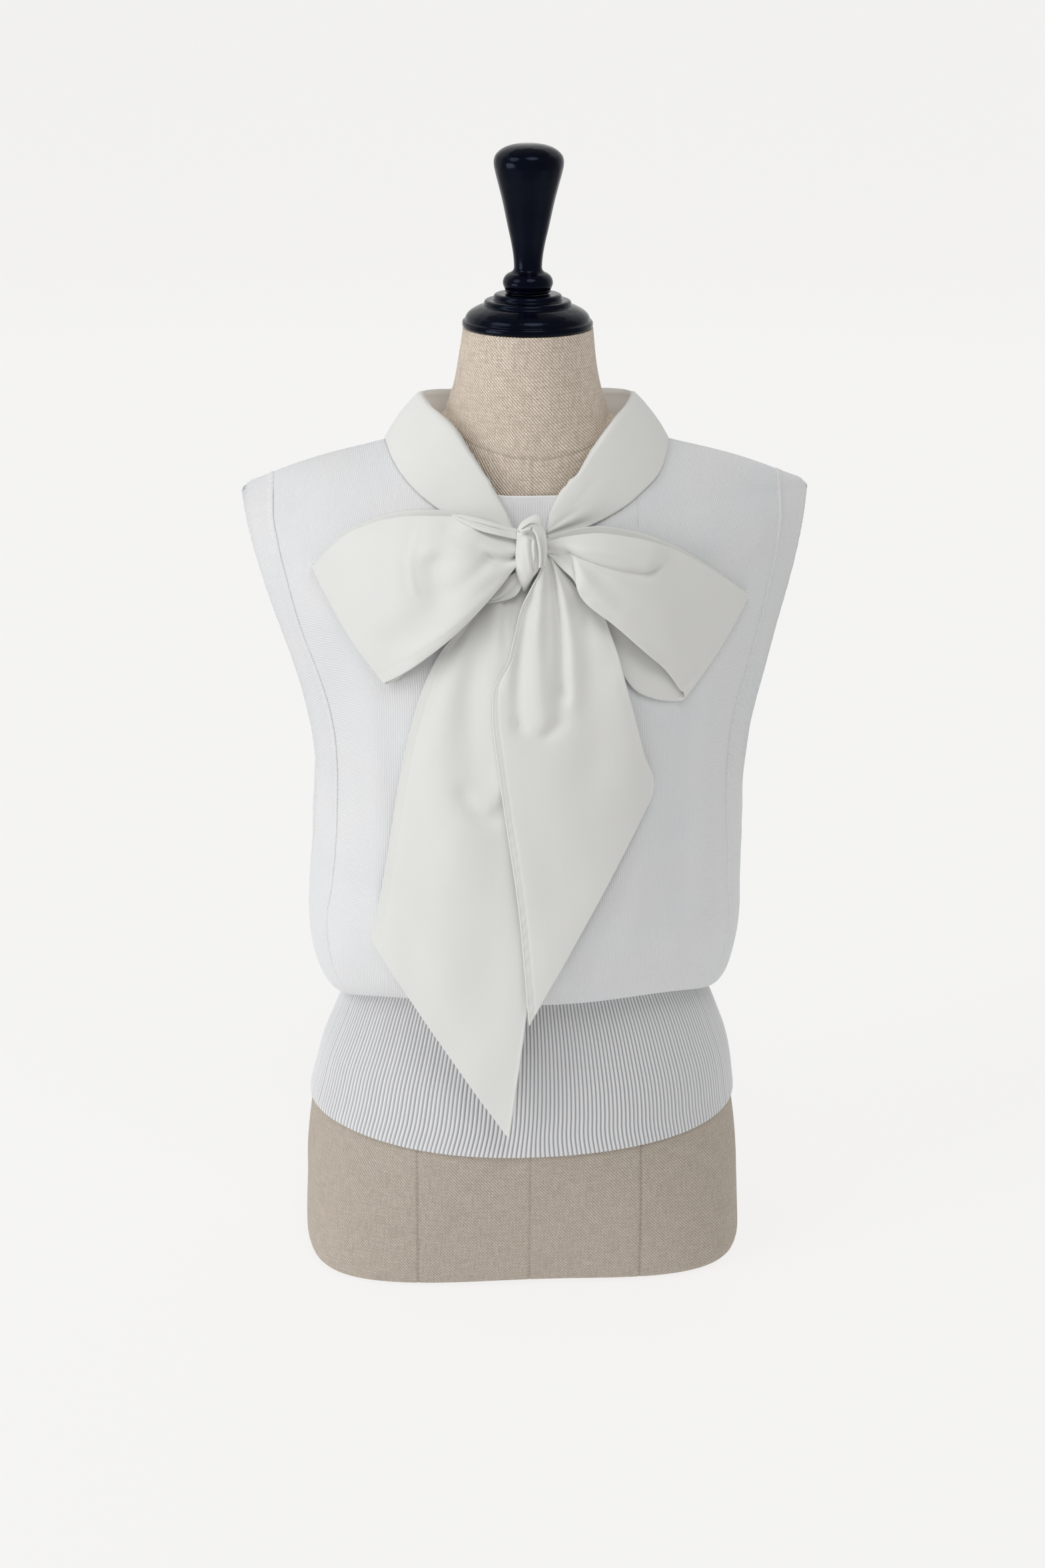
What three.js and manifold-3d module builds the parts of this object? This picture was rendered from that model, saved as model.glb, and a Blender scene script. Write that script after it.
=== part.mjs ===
// Sleeveless knit top with a tied woven collar, worn by a limbless dress form. Millimetres, +Z up.
// The origin is the middle of the form's base, the garment's front faces -Y, and its left side as seen
// from the front lies at -X. Cloth pieces are thin walls; the form, its cap and its finial are whole.
import * as THREE from 'three';
import { mergeVertices } from 'three/addons/utils/BufferGeometryUtils.js';
import Module from 'manifold-3d';

// ---------- driving dimensions ----------
const KNIT_WALL = 2;
const WOVEN_WALL = 1.2;
const SEAM_GAP = 0.3;
const RIB_CLEARANCE = 0.6;
const SHOULDER_TIP = { x: 211, z: 612.5 };
const SHOULDER_SLOPE = 0.334;
const SHOULDER_ROUNDING = 62;
const FORM_SHOULDER_DROP = 2.9;
const NECK_CORNER = 76;
const HEM_HEIGHT = 115;
const NECK_TOP = 732;
const CAP_BOTTOM = NECK_TOP + SEAM_GAP;
const FINIAL_BOTTOM = 757 + SEAM_GAP;

// Angles round the body, in degrees from the centre front or back. The first ones are columns of the
// body panels, up to the armband seam, and the rest are columns of the armbands, up to the side.
const ARMBAND_ANGLE = 66;
const SEAM_HALF_ANGLE = 0.2;
const PANEL_ANGLES = [0, 7.2, 14.5, 21.7, 30.5, 39.5, 48.5, 57, ARMBAND_ANGLE - SEAM_HALF_ANGLE];
const ARMBAND_ANGLES = [ARMBAND_ANGLE + SEAM_HALF_ANGLE, 74, 82, 90];

// Blouson: the body hangs full and turns under to the waist rib.
const ROLL_HEIGHT = 70;
const ROLL_CURL = 3.6;
const ROLL_GAP = 0.5;
const RIB_OVERLAP = 9;
const RIB_ROWS = 9;
const ROLL_BOTTOM = {
  front: { side: 205, centre: 236.4, power: 5 },
  back: { side: 205, centre: 222, power: 4 },
};

// ---------- tables ----------
// A table keeps one row for each height and interpolates each column with a monotone cubic.
function table(columns, rows) {
  const heights = rows.map((row) => row[0]);
  const last = rows.length - 1;
  return (column, height) => {
    const values = rows.map((row) => row[columns.indexOf(column)]);
    const z = Math.min(Math.max(height, heights[0]), heights[last]);
    const next = Math.max(1, heights.findIndex((value) => value >= z));
    const rise = (i) => (values[i + 1] - values[i]) / (heights[i + 1] - heights[i]);
    const slope = (i) => {
      if (i === 0) return rise(0);
      if (i === last) return rise(last - 1);
      const product = rise(i - 1) * rise(i);
      return product <= 0 ? 0 : (2 * product) / (rise(i - 1) + rise(i));
    };
    const span = heights[next] - heights[next - 1];
    const t = (z - heights[next - 1]) / span;
    const start = (values[next - 1] * (1 + 2 * t) + span * slope(next - 1) * t) * (1 - t) ** 2;
    return start + values[next] * t * t * (3 - 2 * t) - span * slope(next) * t * t * (1 - t);
  };
}

function rowsOf(columns, rows) {
  return rows.map((row) => Object.fromEntries(columns.map((column, i) => [column, row[i]])));
}

// The dress form's sections: half width, depth in front of and behind the axis, and squareness.
const formSize = table(['z', 'halfWidth', 'front', 'back', 'power'], [
  [0, 165.5, 106, 100, 4],
  [4, 172, 112.5, 106, 4],
  [14, 175, 115.5, 110, 3.8],
  [67, 174, 115, 112, 3],
  [115, 169.5, 113.5, 112, 2.2],
  [138, 165.4, 112, 111, 2.1],
  [163, 160, 109, 106, 2.1],
  [185, 151.8, 103.5, 98, 2.1],
  [207, 143, 98, 92, 2.1],
  [250, 125, 88, 80, 2.1],
  [275, 121, 86, 77, 2.1],
  [310, 123, 91, 79, 2.1],
  [350, 129, 102, 84, 2.1],
  [400, 137, 117, 92, 2.1],
  [440, 141, 120.5, 97, 2.1],
  [480, 146, 114.5, 99, 2.1],
  [520, 155, 104, 99, 2.1],
  [560, 167, 90.5, 95, 2.1],
  [600, 177, 74, 85, 2.1],
  [625, 178, 65.5, 77, 2.1],
  [640, 178, 62.5, 73, 2.1],
  [660, 178, 58, 69, 2.1],
]);

const neckRadius = table(['z', 'radius'], [
  [620, 70],
  [647, 63.7],
  [660, 60.5],
  [675, 57],
  [690, 53.5],
  [710, 50],
  [NECK_TOP, 47.4],
]);

const FORM_HEIGHTS = [
  0, 1.5, 4, 8, 14, 40, 67, 90, 115, 138, 151, 163, 174, 185, 196, 207, 218, 229, 240, 252, 275,
  310, 350, 400, 440, 480, 520, 560, 590, 606, 616, 622, 628, 634, 640, 646, 651, 656, 660, 666,
  675, 690, 710, NECK_TOP,
];

// The knit body's outer surface at the centre front and centre back.
const knitDepth = table(['z', 'front', 'back'], [
  [200, 129, 109],
  [245, 130, 111],
  [300, 129.5, 111],
  [350, 128.5, 109.5],
  [400, 127, 107.5],
  [440, 124.5, 106.5],
  [480, 118.5, 106],
  [520, 109.5, 105],
  [560, 98, 102],
  [600, 84, 95],
  [625, 74.5, 87],
  [650, 67, 81],
  [690, 60, 79],
]);

// The armhole's outer edge, and how far it stands from the side line towards the front and the back.
const armholeEdge = table(['z', 'front', 'back', 'frontOpen', 'backOpen'], [
  [200, 166, 166, 0, 0],
  [245, 168.5, 168.5, 0, 0],
  [275, 170, 170, 0, 0],
  [302, 169, 169, 0, 0],
  [328, 167.5, 168, 2, 2],
  [345, 165.5, 168, 15, 13],
  [365, 163.5, 167.5, 25, 22],
  [390, 162, 166, 33, 29],
  [434, 164.5, 166, 42, 37],
  [456, 168, 169, 42.5, 38],
  [486, 175, 175.5, 42, 38],
  [515, 183.5, 184, 38, 35],
  [546, 193.5, 194, 31, 29],
  [579, 203.5, 203.5, 18.5, 18],
  [600, 208.5, 208.5, 8, 8],
  [SHOULDER_TIP.z, SHOULDER_TIP.x, SHOULDER_TIP.x, 0, 0],
]);

// The seam that joins each armband to the body.
const armbandSeam = table(['z', 'x'], [
  [200, 150],
  [245, 153.5],
  [290, 155],
  [318, 151.5],
  [348, 149],
  [380, 147],
  [410, 146.5],
  [434, 147.5],
  [456, 150.5],
  [486, 158.5],
  [516, 168.5],
  [556, 179],
  [579, 184.5],
  [600, 188],
  [620, 188],
]);

// Collar stations on one half, from the knot round to the centre back. The fold is given in space.
// The seam of the stand and the edge of the fall lie on the knit, at a lift from it. The shift moves
// the station sideways, because the knot is tied a little to the left.
const COLLAR_COLUMNS = [
  'side', 'foldX', 'foldY', 'foldZ', 'seamX', 'seamZ', 'seamLift', 'edgeX', 'edgeZ', 'edgeLift', 'shift',
];
const COLLAR_STATIONS = rowsOf(COLLAR_COLUMNS, [
  ['front', 11.8, -92, 603, 13, 599, 2, 13.5, 594.5, 6.5, 3.3],
  ['front', 15.5, -85, 614.5, 20, 610, 1.6, 32, 600, 3, 4.5],
  ['front', 22, -77, 626.5, 26, 622, 1.4, 51, 607, 1.5, 4.5],
  ['front', 33, -68, 641.5, 36, 627, 1.4, 66, 615, 1.4, 2.2],
  ['front', 44, -58, 655, 47, 635.5, 1.4, 79, 623, 1.4, 1.5],
  ['front', 55.5, -45, 668, 57, 646.5, 1.4, 91, 632, 1.4, 0],
  ['front', 67.5, -25, 677, 65.5, 656.5, 1.6, 99, 642, 1.4, 0],
  ['front', 74.5, -13, 681.5, 69, 659.3, 1.8, 102, 647, 1.4, 0],
  ['front', 78, 0, 684.5, 70.5, 659.4, 1.8, 103, 648.6, 1.4, 0],
  ['back', 76.5, 14, 683.5, 70, 659.2, 1.8, 102.5, 646.8, 1.4, 0],
  ['back', 71, 30, 681, 67, 658, 0.6, 98, 640.5, 1.2, 0],
  ['back', 63.5, 42, 679.5, 60, 656.2, -0.6, 90, 634.5, 1.4, 0],
  ['back', 54, 52, 678, 51, 655, -1, 78, 631.5, 1.4, 0],
  ['back', 41, 60.5, 676.5, 39, 653.9, -1, 60, 632, 1.4, 0],
  ['back', 28, 67, 675.5, 27, 653, -1, 41, 633.2, 1.4, 0],
  ['back', 14, 70.5, 674.8, 13.5, 652.7, -1, 21, 634.6, 1.4, 0],
  ['back', 0, 71.5, 674.5, 0, 652.6, -1, 0, 635.5, 1.4, 0],
]);

// Bow loops: stations from the knot out to the end fold. Each has its top edge, its bottom edge in
// front and behind, and how far the two layers stand off the knit.
const LOOP_COLUMNS = ['topX', 'topZ', 'lowX', 'lowZ', 'backX', 'backZ', 'frontLift', 'backLift'];
const LEFT_LOOP = rowsOf(LOOP_COLUMNS, [
  [-14.4, 601, -14.4, 584, -14.4, 586, 17, 12],
  [-41, 613, -38, 553, -38, 555, 22, 7],
  [-69, 614, -61, 533.5, -61, 535, 23, 5],
  [-97, 611, -83, 515, -82, 516, 18, 4],
  [-132, 596, -96, 503, -95, 503, 12, 3.2],
  [-154, 573, -103, 497, -102, 496, 6.5, 3],
]);
const RIGHT_LOOP = rowsOf(LOOP_COLUMNS, [
  [7.8, 598, 8.2, 590, 7.8, 590, 17, 12],
  [26, 602, 30, 562, 30, 566, 25, 7],
  [50, 603, 51, 543, 52, 536, 24, 5],
  [80, 598, 76, 521, 70, 495, 18, 4],
  [118, 577, 95, 501, 89, 482, 12, 3.2],
  [157, 548, 106.5, 485.5, 106.5, 479, 6.5, 3],
]);
const LOOP_END = { topReach: 3.5, lowReach: 1.05, drop: 2.1, lift: 4.8 };
const LOOP_PUFF = 7;
const LOOP_COLUMNS_ACROSS = 6;

// Bow tails: stations from the knot down to the pointed end, with both edges, their lifts off the
// knit and the height of the soft fold between them.
const TAIL_COLUMNS = ['leftX', 'leftZ', 'leftLift', 'rightX', 'rightZ', 'rightLift', 'fold'];
const LEFT_TAIL = rowsOf(TAIL_COLUMNS, [
  [-14, 574, 2, 2, 570, 2, 0],
  [-42, 550, 2, 4, 548, 2.5, 1],
  [-66, 519, 2, 5, 510, 3, 1.5],
  [-85, 482, 2, 5, 462, 3, 2],
  [-97, 439, 2, 3, 400, 3, 2],
  [-106, 377, 2, -1, 320, 3, 2],
  [-112, 335, 2, -5, 240, 4, 1],
  [-120, 290, 2, -18, 144, 4, 0],
]);
const RIGHT_TAIL = rowsOf(TAIL_COLUMNS, [
  [8, 592, 14, 10, 589, 13, 0],
  [6, 583, 20.5, 15, 582, 15, 0],
  [0, 571, 20.5, 24, 571, 15, 1],
  [-9, 553, 14, 35, 556, 12, 4],
  [-18, 522, 11, 52, 540, 11, 8],
  [-31, 493, 9, 62, 509, 9, 9],
  [-29, 460, 9, 70, 475, 8, 5],
  [-24, 420, 9, 79, 447, 7, 2],
  [-14, 345, 9, 84, 430, 7, 1],
  [-4, 240, 9, 87, 414, 7, 0],
]);
const TAIL_COLUMNS_ACROSS = 8;
const LOWEST_SUPPORT = 300;

// The knot: rings with their middle and half sizes.
const KNOT_SIDES = 12;
const KNOT_RINGS = rowsOf(['z', 'x', 'y', 'halfWidth', 'halfDepth'], [
  [564.5, -5, -104, 3, 3],
  [569, -5, -104, 7, 5.5],
  [579, -4.2, -104, 9.3, 8.5],
  [590, -3.5, -103.5, 10, 10.5],
  [600, -3.3, -102.5, 9.8, 10],
  [608, -2.5, -101, 8.5, 8],
  [614, -0.5, -99.5, 6, 5],
  [617, 1, -99, 2.5, 2.5],
]);

// ---------- closed walls from grids of points ----------
function meshFrom(name, positions, triangles, material) {
  const flat = positions.flatMap((p) => [p.x, p.y, p.z]);
  let volume = 0;
  for (const [a, b, c] of triangles) {
    volume += positions[a].dot(new THREE.Vector3().crossVectors(positions[b], positions[c]));
  }
  const facing = volume > 0 ? triangles : triangles.map(([a, b, c]) => [a, c, b]);
  const geometry = new THREE.BufferGeometry();
  geometry.setAttribute('position', new THREE.Float32BufferAttribute(flat, 3));
  geometry.setIndex(facing.flat());
  geometry.computeVertexNormals();
  const mesh = new THREE.Mesh(geometry, material);
  mesh.name = name;
  return mesh;
}

// Joins an outer and an inner grid of the same size into one closed wall, round its four edges.
function wallMesh(name, outer, inner, material) {
  const rows = outer.length;
  const columns = outer[0].length;
  const count = rows * columns;
  const positions = [...outer.flat(), ...inner.flat()];
  const triangles = [];
  const quad = (a, b, c, d) => triangles.push([a, b, c], [a, c, d]);
  const at = (row, column) => row * columns + column;
  for (let r = 0; r < rows - 1; r += 1) {
    for (let c = 0; c < columns - 1; c += 1) {
      quad(at(r, c), at(r, c + 1), at(r + 1, c + 1), at(r + 1, c));
      quad(count + at(r, c), count + at(r + 1, c), count + at(r + 1, c + 1), count + at(r, c + 1));
    }
  }
  const rim = [];
  for (let c = 0; c < columns - 1; c += 1) rim.push(at(0, c));
  for (let r = 0; r < rows - 1; r += 1) rim.push(at(r, columns - 1));
  for (let c = columns - 1; c > 0; c -= 1) rim.push(at(rows - 1, c));
  for (let r = rows - 1; r > 0; r -= 1) rim.push(at(r, 0));
  rim.forEach((a, i) => {
    const b = rim[(i + 1) % rim.length];
    quad(b, a, count + a, count + b);
  });
  return meshFrom(name, positions, triangles, material);
}

// Joins rings of the same size, lowest first, into one closed body with flat or pointed ends.
function ringMesh(name, rings, material) {
  const size = rings[0].length;
  const positions = rings.flat();
  const triangles = [];
  rings.slice(1).forEach((_, r) => {
    for (let i = 0; i < size; i += 1) {
      const j = (i + 1) % size;
      const a = r * size + i;
      const b = r * size + j;
      triangles.push([a, b, b + size], [a, b + size, a + size]);
    }
  });
  const middle = (ring) => ring.reduce((sum, p) => sum.add(p), new THREE.Vector3()).divideScalar(size);
  const bottom = positions.push(middle(rings[0])) - 1;
  const top = positions.push(middle(rings[rings.length - 1])) - 1;
  const above = (rings.length - 1) * size;
  for (let i = 0; i < size; i += 1) {
    const j = (i + 1) % size;
    triangles.push([bottom, j, i], [top, above + i, above + j]);
  }
  return meshFrom(name, positions, triangles, material);
}

// A ring-shaped wall, such as a tube, from rings of outer and inner points.
function tubeMesh(name, outer, inner, material) {
  const size = outer[0].length;
  const loop = [...outer, ...[...inner].reverse()];
  const positions = loop.flat();
  const triangles = [];
  loop.forEach((_, r) => {
    const next = (r + 1) % loop.length;
    for (let i = 0; i < size; i += 1) {
      const j = (i + 1) % size;
      triangles.push([r * size + i, r * size + j, next * size + j]);
      triangles.push([r * size + i, next * size + j, next * size + i]);
    }
  });
  return meshFrom(name, positions, triangles, material);
}

// ---------- cuts ----------
const wasm = await Module();
wasm.setup();

function solidFrom(geometry) {
  const bare = geometry.clone();
  bare.deleteAttribute('normal');
  bare.deleteAttribute('uv');
  const merged = mergeVertices(bare, 1e-4);
  const vertProperties = new Float32Array(merged.attributes.position.array);
  const triVerts = new Uint32Array(merged.index.array);
  return new wasm.Manifold(new wasm.Mesh({ numProp: 3, vertProperties, triVerts }));
}

// Cuts a mesh with a prism along Y, keeping what lies outside or inside its outline.
const PRISM_DEPTH = 400;

function trim(mesh, outline, keep) {
  const shape = new THREE.Shape(outline);
  const prism = new THREE.ExtrudeGeometry(shape, { depth: PRISM_DEPTH, bevelEnabled: false });
  prism.translate(0, 0, -PRISM_DEPTH / 2);
  prism.rotateX(Math.PI / 2);
  const body = solidFrom(mesh.geometry);
  const tool = solidFrom(prism);
  const result = (keep === 'outside' ? body.subtract(tool) : body.intersect(tool)).getMesh();
  const geometry = new THREE.BufferGeometry();
  geometry.setAttribute('position', new THREE.Float32BufferAttribute(result.vertProperties, 3));
  geometry.setIndex(new THREE.Uint32BufferAttribute(result.triVerts, 1));
  geometry.computeVertexNormals();
  mesh.geometry = geometry;
  return mesh;
}

// ---------- shapes of the body ----------
const radians = THREE.MathUtils.degToRad;
const signedPower = (value, power) => Math.sign(value) * Math.abs(value) ** power;
const ridgeHeight = (x) => SHOULDER_TIP.z + (SHOULDER_TIP.x - Math.abs(x)) * SHOULDER_SLOPE;

// A quarter round below the shoulder line: 0 at the line, 1 once the surface hangs straight.
function shoulderRound(drop) {
  const t = Math.min(Math.max(drop, 0) / SHOULDER_ROUNDING, 1);
  return Math.sqrt(1 - (1 - t) ** 2);
}

// One point of the form's ring at a height, at an angle from the centre front or back.
function formPoint(side, angle, z) {
  const power = formSize('power', z);
  const shoulder = (SHOULDER_TIP.z - z - FORM_SHOULDER_DROP) / SHOULDER_SLOPE + SHOULDER_TIP.x;
  const neck = z > 620 ? neckRadius('radius', z) : 0;
  const widest = formSize('halfWidth', z);
  const reach = Math.max(Math.min(widest, shoulder), neck);
  const x = reach * Math.sin(radians(angle)) ** (2 / power);
  const share = Math.min(x / widest, 1);
  const body = shoulderRound(ridgeHeight(x) - FORM_SHOULDER_DROP - z)
    * formSize(side, z) * (1 - share ** power) ** (1 / power);
  const column = Math.sqrt(Math.max(neck ** 2 - x ** 2, 0));
  return { x, depth: Math.max(body, column) };
}

function ribPoint(side, angle, z, proud) {
  const power = formSize('power', z);
  const x = (formSize('halfWidth', z) + proud) * signedPower(Math.sin(radians(angle)), 2 / power);
  const depth = (formSize(side, z) + proud) * signedPower(Math.cos(radians(angle)), 2 / power);
  return { x, depth: Math.max(depth, 0) };
}

// Depth of the knit's outer surface at a place on the front or back. The sides are round below the
// armhole and flatter above it.
function knitSurface(side, x, z) {
  const edge = armholeEdge(side, z);
  const open = armholeEdge(`${side}Open`, z);
  const share = Math.min(Math.abs(x) / edge, 1);
  const flatness = THREE.MathUtils.smoothstep(z, 325, 450);
  const shape = (1 - share ** (2.1 + 0.2 * flatness)) ** (0.48 + 0.52 * flatness);
  const full = open + (knitDepth(side, z) - open) * shape;
  return SEAM_GAP / 2 + shoulderRound(ridgeHeight(x) - z) * full;
}

// Across the body: the panel's columns run in to the armband seam and the armband's out to its edge.
function columnX(side, angle, z) {
  const seam = armbandSeam('x', z);
  const seamSine = Math.sin(radians(ARMBAND_ANGLE));
  const sine = Math.sin(radians(angle));
  if (angle <= ARMBAND_ANGLE) return (seam * sine) / seamSine;
  return seam + ((armholeEdge(side, z) - seam) * (sine - seamSine)) / (1 - seamSine);
}

const towards = (side) => (side === 'front' ? -1 : 1);

function knitPoint(side, angle, sign, z) {
  const x = columnX(side, angle, z);
  return new THREE.Vector3(sign * x, towards(side) * knitSurface(side, x, z), z);
}

function rollBottom(side, angle) {
  const { side: low, centre, power } = ROLL_BOTTOM[side];
  return centre + (low - centre) * Math.abs(Math.sin(radians(angle))) ** power;
}

// Height of the neckline seam and of the neckband's top edge between the neck corners.
const NECKLINE = {
  front: { centre: 602, flat: 0, reach: NECK_CORNER, power: 3 },
  back: { centre: 651, flat: 0, reach: NECK_CORNER, power: 2.4 },
  band: { centre: 624.5, flat: 20, reach: 69, power: 1.8 },
};
const NECKLINE_STEPS = 12;

function neckHeight(edge, x) {
  const { centre, flat, reach, power } = NECKLINE[edge];
  const share = Math.max(Math.abs(x) - flat, 0) / (reach - flat);
  return centre + (ridgeHeight(reach) - centre) * share ** power;
}

// A point off the knit, at a place across it and a height, moved out along its normal. The shoulder is
// followed by its turn, so that the normal stays sound on the shoulder line itself.
const LEAST_DROP = 1;
const NORMAL_STEP = { x: 0.5, turn: 0.01 };

function overKnit(side, x, z, lift) {
  const drop = ridgeHeight(x) - z;
  const turn = drop < SHOULDER_ROUNDING
    ? Math.acos(1 - Math.max(drop, 0) / SHOULDER_ROUNDING)
    : Math.PI / 2 + (drop - SHOULDER_ROUNDING) / SHOULDER_ROUNDING;
  const surface = (across, angle) => {
    const round = angle < Math.PI / 2;
    const fall = round ? 1 - Math.cos(angle) : 1 + angle - Math.PI / 2;
    const height = ridgeHeight(across) - SHOULDER_ROUNDING * fall;
    const below = Math.max(ridgeHeight(across) - height, LEAST_DROP);
    const rounded = knitSurface(side, across, ridgeHeight(across) - below) - SEAM_GAP / 2;
    const depth = (rounded / shoulderRound(below)) * (round ? Math.sin(angle) : 1);
    return new THREE.Vector3(across, towards(side) * depth, height);
  };
  const across = surface(x + NORMAL_STEP.x, turn).sub(surface(x - NORMAL_STEP.x, turn));
  const down = surface(x, turn + NORMAL_STEP.turn).sub(surface(x, turn - NORMAL_STEP.turn));
  const normal = across.cross(down).multiplyScalar(towards(side)).normalize();
  return surface(x, turn).addScaledVector(normal, lift);
}

// The curve of a neck edge from left to right, as points of an outline across the front.
function neckCurve(edge, shift) {
  const { reach } = NECKLINE[edge];
  return Array.from({ length: NECKLINE_STEPS + 1 }, (_, step) => {
    const x = reach * Math.sin(radians((180 * step) / NECKLINE_STEPS - 90));
    return new THREE.Vector2(x * (1 - shift / reach), neckHeight(edge, x) + shift);
  });
}

// Rows of the body: close together over the shoulder, then even down to the roll, then round the
// roll and up against the rib.
const SHOULDER_TURNS = [0, 9, 19, 30, 43, 58, 75];
const BODY_STEPS = 8;
const ROLL_TURNS = [18, 36, 54, 72, 90];
const CURL_TURNS = [45, 90];

function bodyColumn(side, angle, sign) {
  const bottom = rollBottom(side, angle);
  const rollStart = bottom + ROLL_HEIGHT;
  const top = ridgeHeight(columnX(side, angle, SHOULDER_TIP.z));
  const heights = SHOULDER_TURNS.map((turn) => top - SHOULDER_ROUNDING * (1 - Math.cos(radians(turn))));
  const shoulderEnd = heights[heights.length - 1];
  for (let step = 1; step <= BODY_STEPS; step += 1) {
    heights.push(shoulderEnd + ((rollStart - shoulderEnd) * step) / BODY_STEPS);
  }
  const column = heights.map((z) => knitPoint(side, angle, sign, z));
  const rib = (z, distance) => {
    const { x, depth } = ribPoint(side, angle, z, RIB_CLEARANCE + KNIT_WALL);
    const seat = new THREE.Vector3(sign * x, towards(side) * Math.max(depth, SEAM_GAP / 2), z);
    return seat.addScaledVector(outward, distance);
  };
  const start = column[column.length - 1];
  const outward = new THREE.Vector3();
  const span = rib(bottom, 0).sub(start).setZ(0).negate();
  const reach = span.length() - ROLL_GAP - ROLL_CURL;
  outward.copy(span).normalize();
  for (const turn of ROLL_TURNS) {
    const z = bottom + ROLL_HEIGHT * (1 - Math.sin(radians(turn)));
    const point = rib(bottom, ROLL_GAP + ROLL_CURL + reach * Math.cos(radians(turn)));
    column.push(point.setZ(z));
  }
  for (const turn of CURL_TURNS) {
    const z = bottom + ROLL_CURL * (1 - Math.cos(radians(turn)));
    column.push(rib(z, ROLL_GAP + ROLL_CURL * (1 - Math.sin(radians(turn)))));
  }
  column.push(rib(bottom + 2 * ROLL_CURL, ROLL_GAP));
  return column;
}

// Outward normals down one column. Along the shoulder and side seams they stay in the seam's plane.
function columnNormals(side, angle, sign) {
  const spread = 1;
  const inner = bodyColumn(side, Math.min(angle, 90 - spread) - spread, sign);
  const outer = bodyColumn(side, Math.min(angle + spread, 90), sign);
  const column = bodyColumn(side, angle, sign);
  return column.map((point, r) => {
    const down = column[Math.min(r + 1, column.length - 1)].clone().sub(column[Math.max(r - 1, 0)]);
    const across = outer[r].clone().sub(inner[r]);
    const normal = across.cross(down).multiplyScalar(sign * towards(side)).normalize();
    if (r === 0) normal.set(sign * SHOULDER_SLOPE, 0, 1).normalize();
    if (Math.abs(point.y) < 1) normal.setY(0).normalize();
    return normal;
  });
}

// The outer and inner grids of some columns, given as pairs of an angle and a sign.
function knitGrids(side, stations) {
  const columns = stations.map(([angle, sign]) => bodyColumn(side, angle, sign));
  const normals = stations.map(([angle, sign]) => columnNormals(side, angle, sign));
  const outer = columns[0].map((_, r) => columns.map((column) => column[r]));
  const inner = columns[0].map((_, r) => columns.map((column, c) => (
    column[r].clone().addScaledVector(normals[c][r], -KNIT_WALL)
  )));
  return { outer, inner };
}

// ---------- materials ----------
const cloth = (name, color, roughness) => new THREE.MeshStandardMaterial({
  name, color, roughness, metalness: 0, side: THREE.FrontSide,
});
const KNIT = cloth('knit', 0xdfe2e6, 0.9);
const WOVEN = cloth('woven', 0xeceae2, 0.75);
const LINEN = cloth('linen', 0xc4b8a6, 0.9);
const LACQUER = cloth('lacquer', 0x12161e, 0.2);

// ---------- the dress form ----------
function formTorso() {
  const quadrant = [...PANEL_ANGLES, ...ARMBAND_ANGLES.slice(1)];
  const rings = FORM_HEIGHTS.map((z) => {
    const points = [];
    const add = (side, angle, sign) => {
      const { x, depth } = formPoint(side, angle, z);
      points.push(new THREE.Vector3(sign * x, towards(side) * depth, z));
    };
    quadrant.forEach((angle) => add('front', angle, 1));
    quadrant.slice(0, -1).reverse().forEach((angle) => add('back', angle, 1));
    quadrant.slice(1).forEach((angle) => add('back', angle, -1));
    quadrant.slice(1, -1).reverse().forEach((angle) => add('front', angle, -1));
    return points;
  });
  return ringMesh('form_torso', rings, LINEN);
}

function turned(name, profile, segments) {
  const points = profile.map(([radius, z]) => new THREE.Vector2(radius, z));
  const geometry = new THREE.LatheGeometry(points, segments);
  geometry.rotateX(Math.PI / 2);
  const mesh = new THREE.Mesh(geometry, LACQUER);
  mesh.name = name;
  return mesh;
}

function formCap() {
  return turned('form_cap', [
    [0, CAP_BOTTOM],
    [46.5, CAP_BOTTOM],
    [47.5, 733.3],
    [47.5, 737],
    [47, 739.5],
    [44, 743.5],
    [38, 746.5],
    [31.3, 749.7],
    [31.3, 753],
    [24, 754],
    [24, FINIAL_BOTTOM - SEAM_GAP],
    [0, FINIAL_BOTTOM - SEAM_GAP],
  ], 40);
}

function formFinial() {
  return turned('form_finial', [
    [0, FINIAL_BOTTOM],
    [16, FINIAL_BOTTOM],
    [17, 760],
    [18.1, 763.7],
    [17, 767.5],
    [13.5, 771],
    [10.3, 773],
    [10, 775],
    [11, 783],
    [14.2, 801],
    [18.5, 821.5],
    [24.3, 843],
    [25.1, 848.5],
    [24.2, 852.5],
    [20, 857.5],
    [12, 861],
    [0, 862],
  ], 32);
}

// ---------- the knit body ----------
const PANEL_STATIONS = [
  ...PANEL_ANGLES.slice(1).reverse().map((angle) => [angle, -1]),
  ...PANEL_ANGLES.map((angle) => [angle, 1]),
];

function bodyPanel(name, side) {
  const { outer, inner } = knitGrids(side, PANEL_STATIONS);
  const peak = 2 * ridgeHeight(0);
  const reach = NECKLINE[side].reach;
  const outline = [...neckCurve(side, 0), new THREE.Vector2(reach, peak), new THREE.Vector2(-reach, peak)];
  return trim(wallMesh(name, outer, inner, KNIT), outline, 'outside');
}

// An armband runs from the front waist over the shoulder tip to the back waist.
function armband(name, sign) {
  const stations = ARMBAND_ANGLES.map((angle) => [angle, sign]);
  const front = knitGrids('front', stations);
  const back = knitGrids('back', stations);
  const joined = (layer) => {
    const ridge = front[layer][0].map((point) => point.clone().setY(0));
    return [...front[layer].slice(1).reverse(), ridge, ...back[layer].slice(1)];
  };
  return wallMesh(name, joined('outer'), joined('inner'), KNIT);
}

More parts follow.
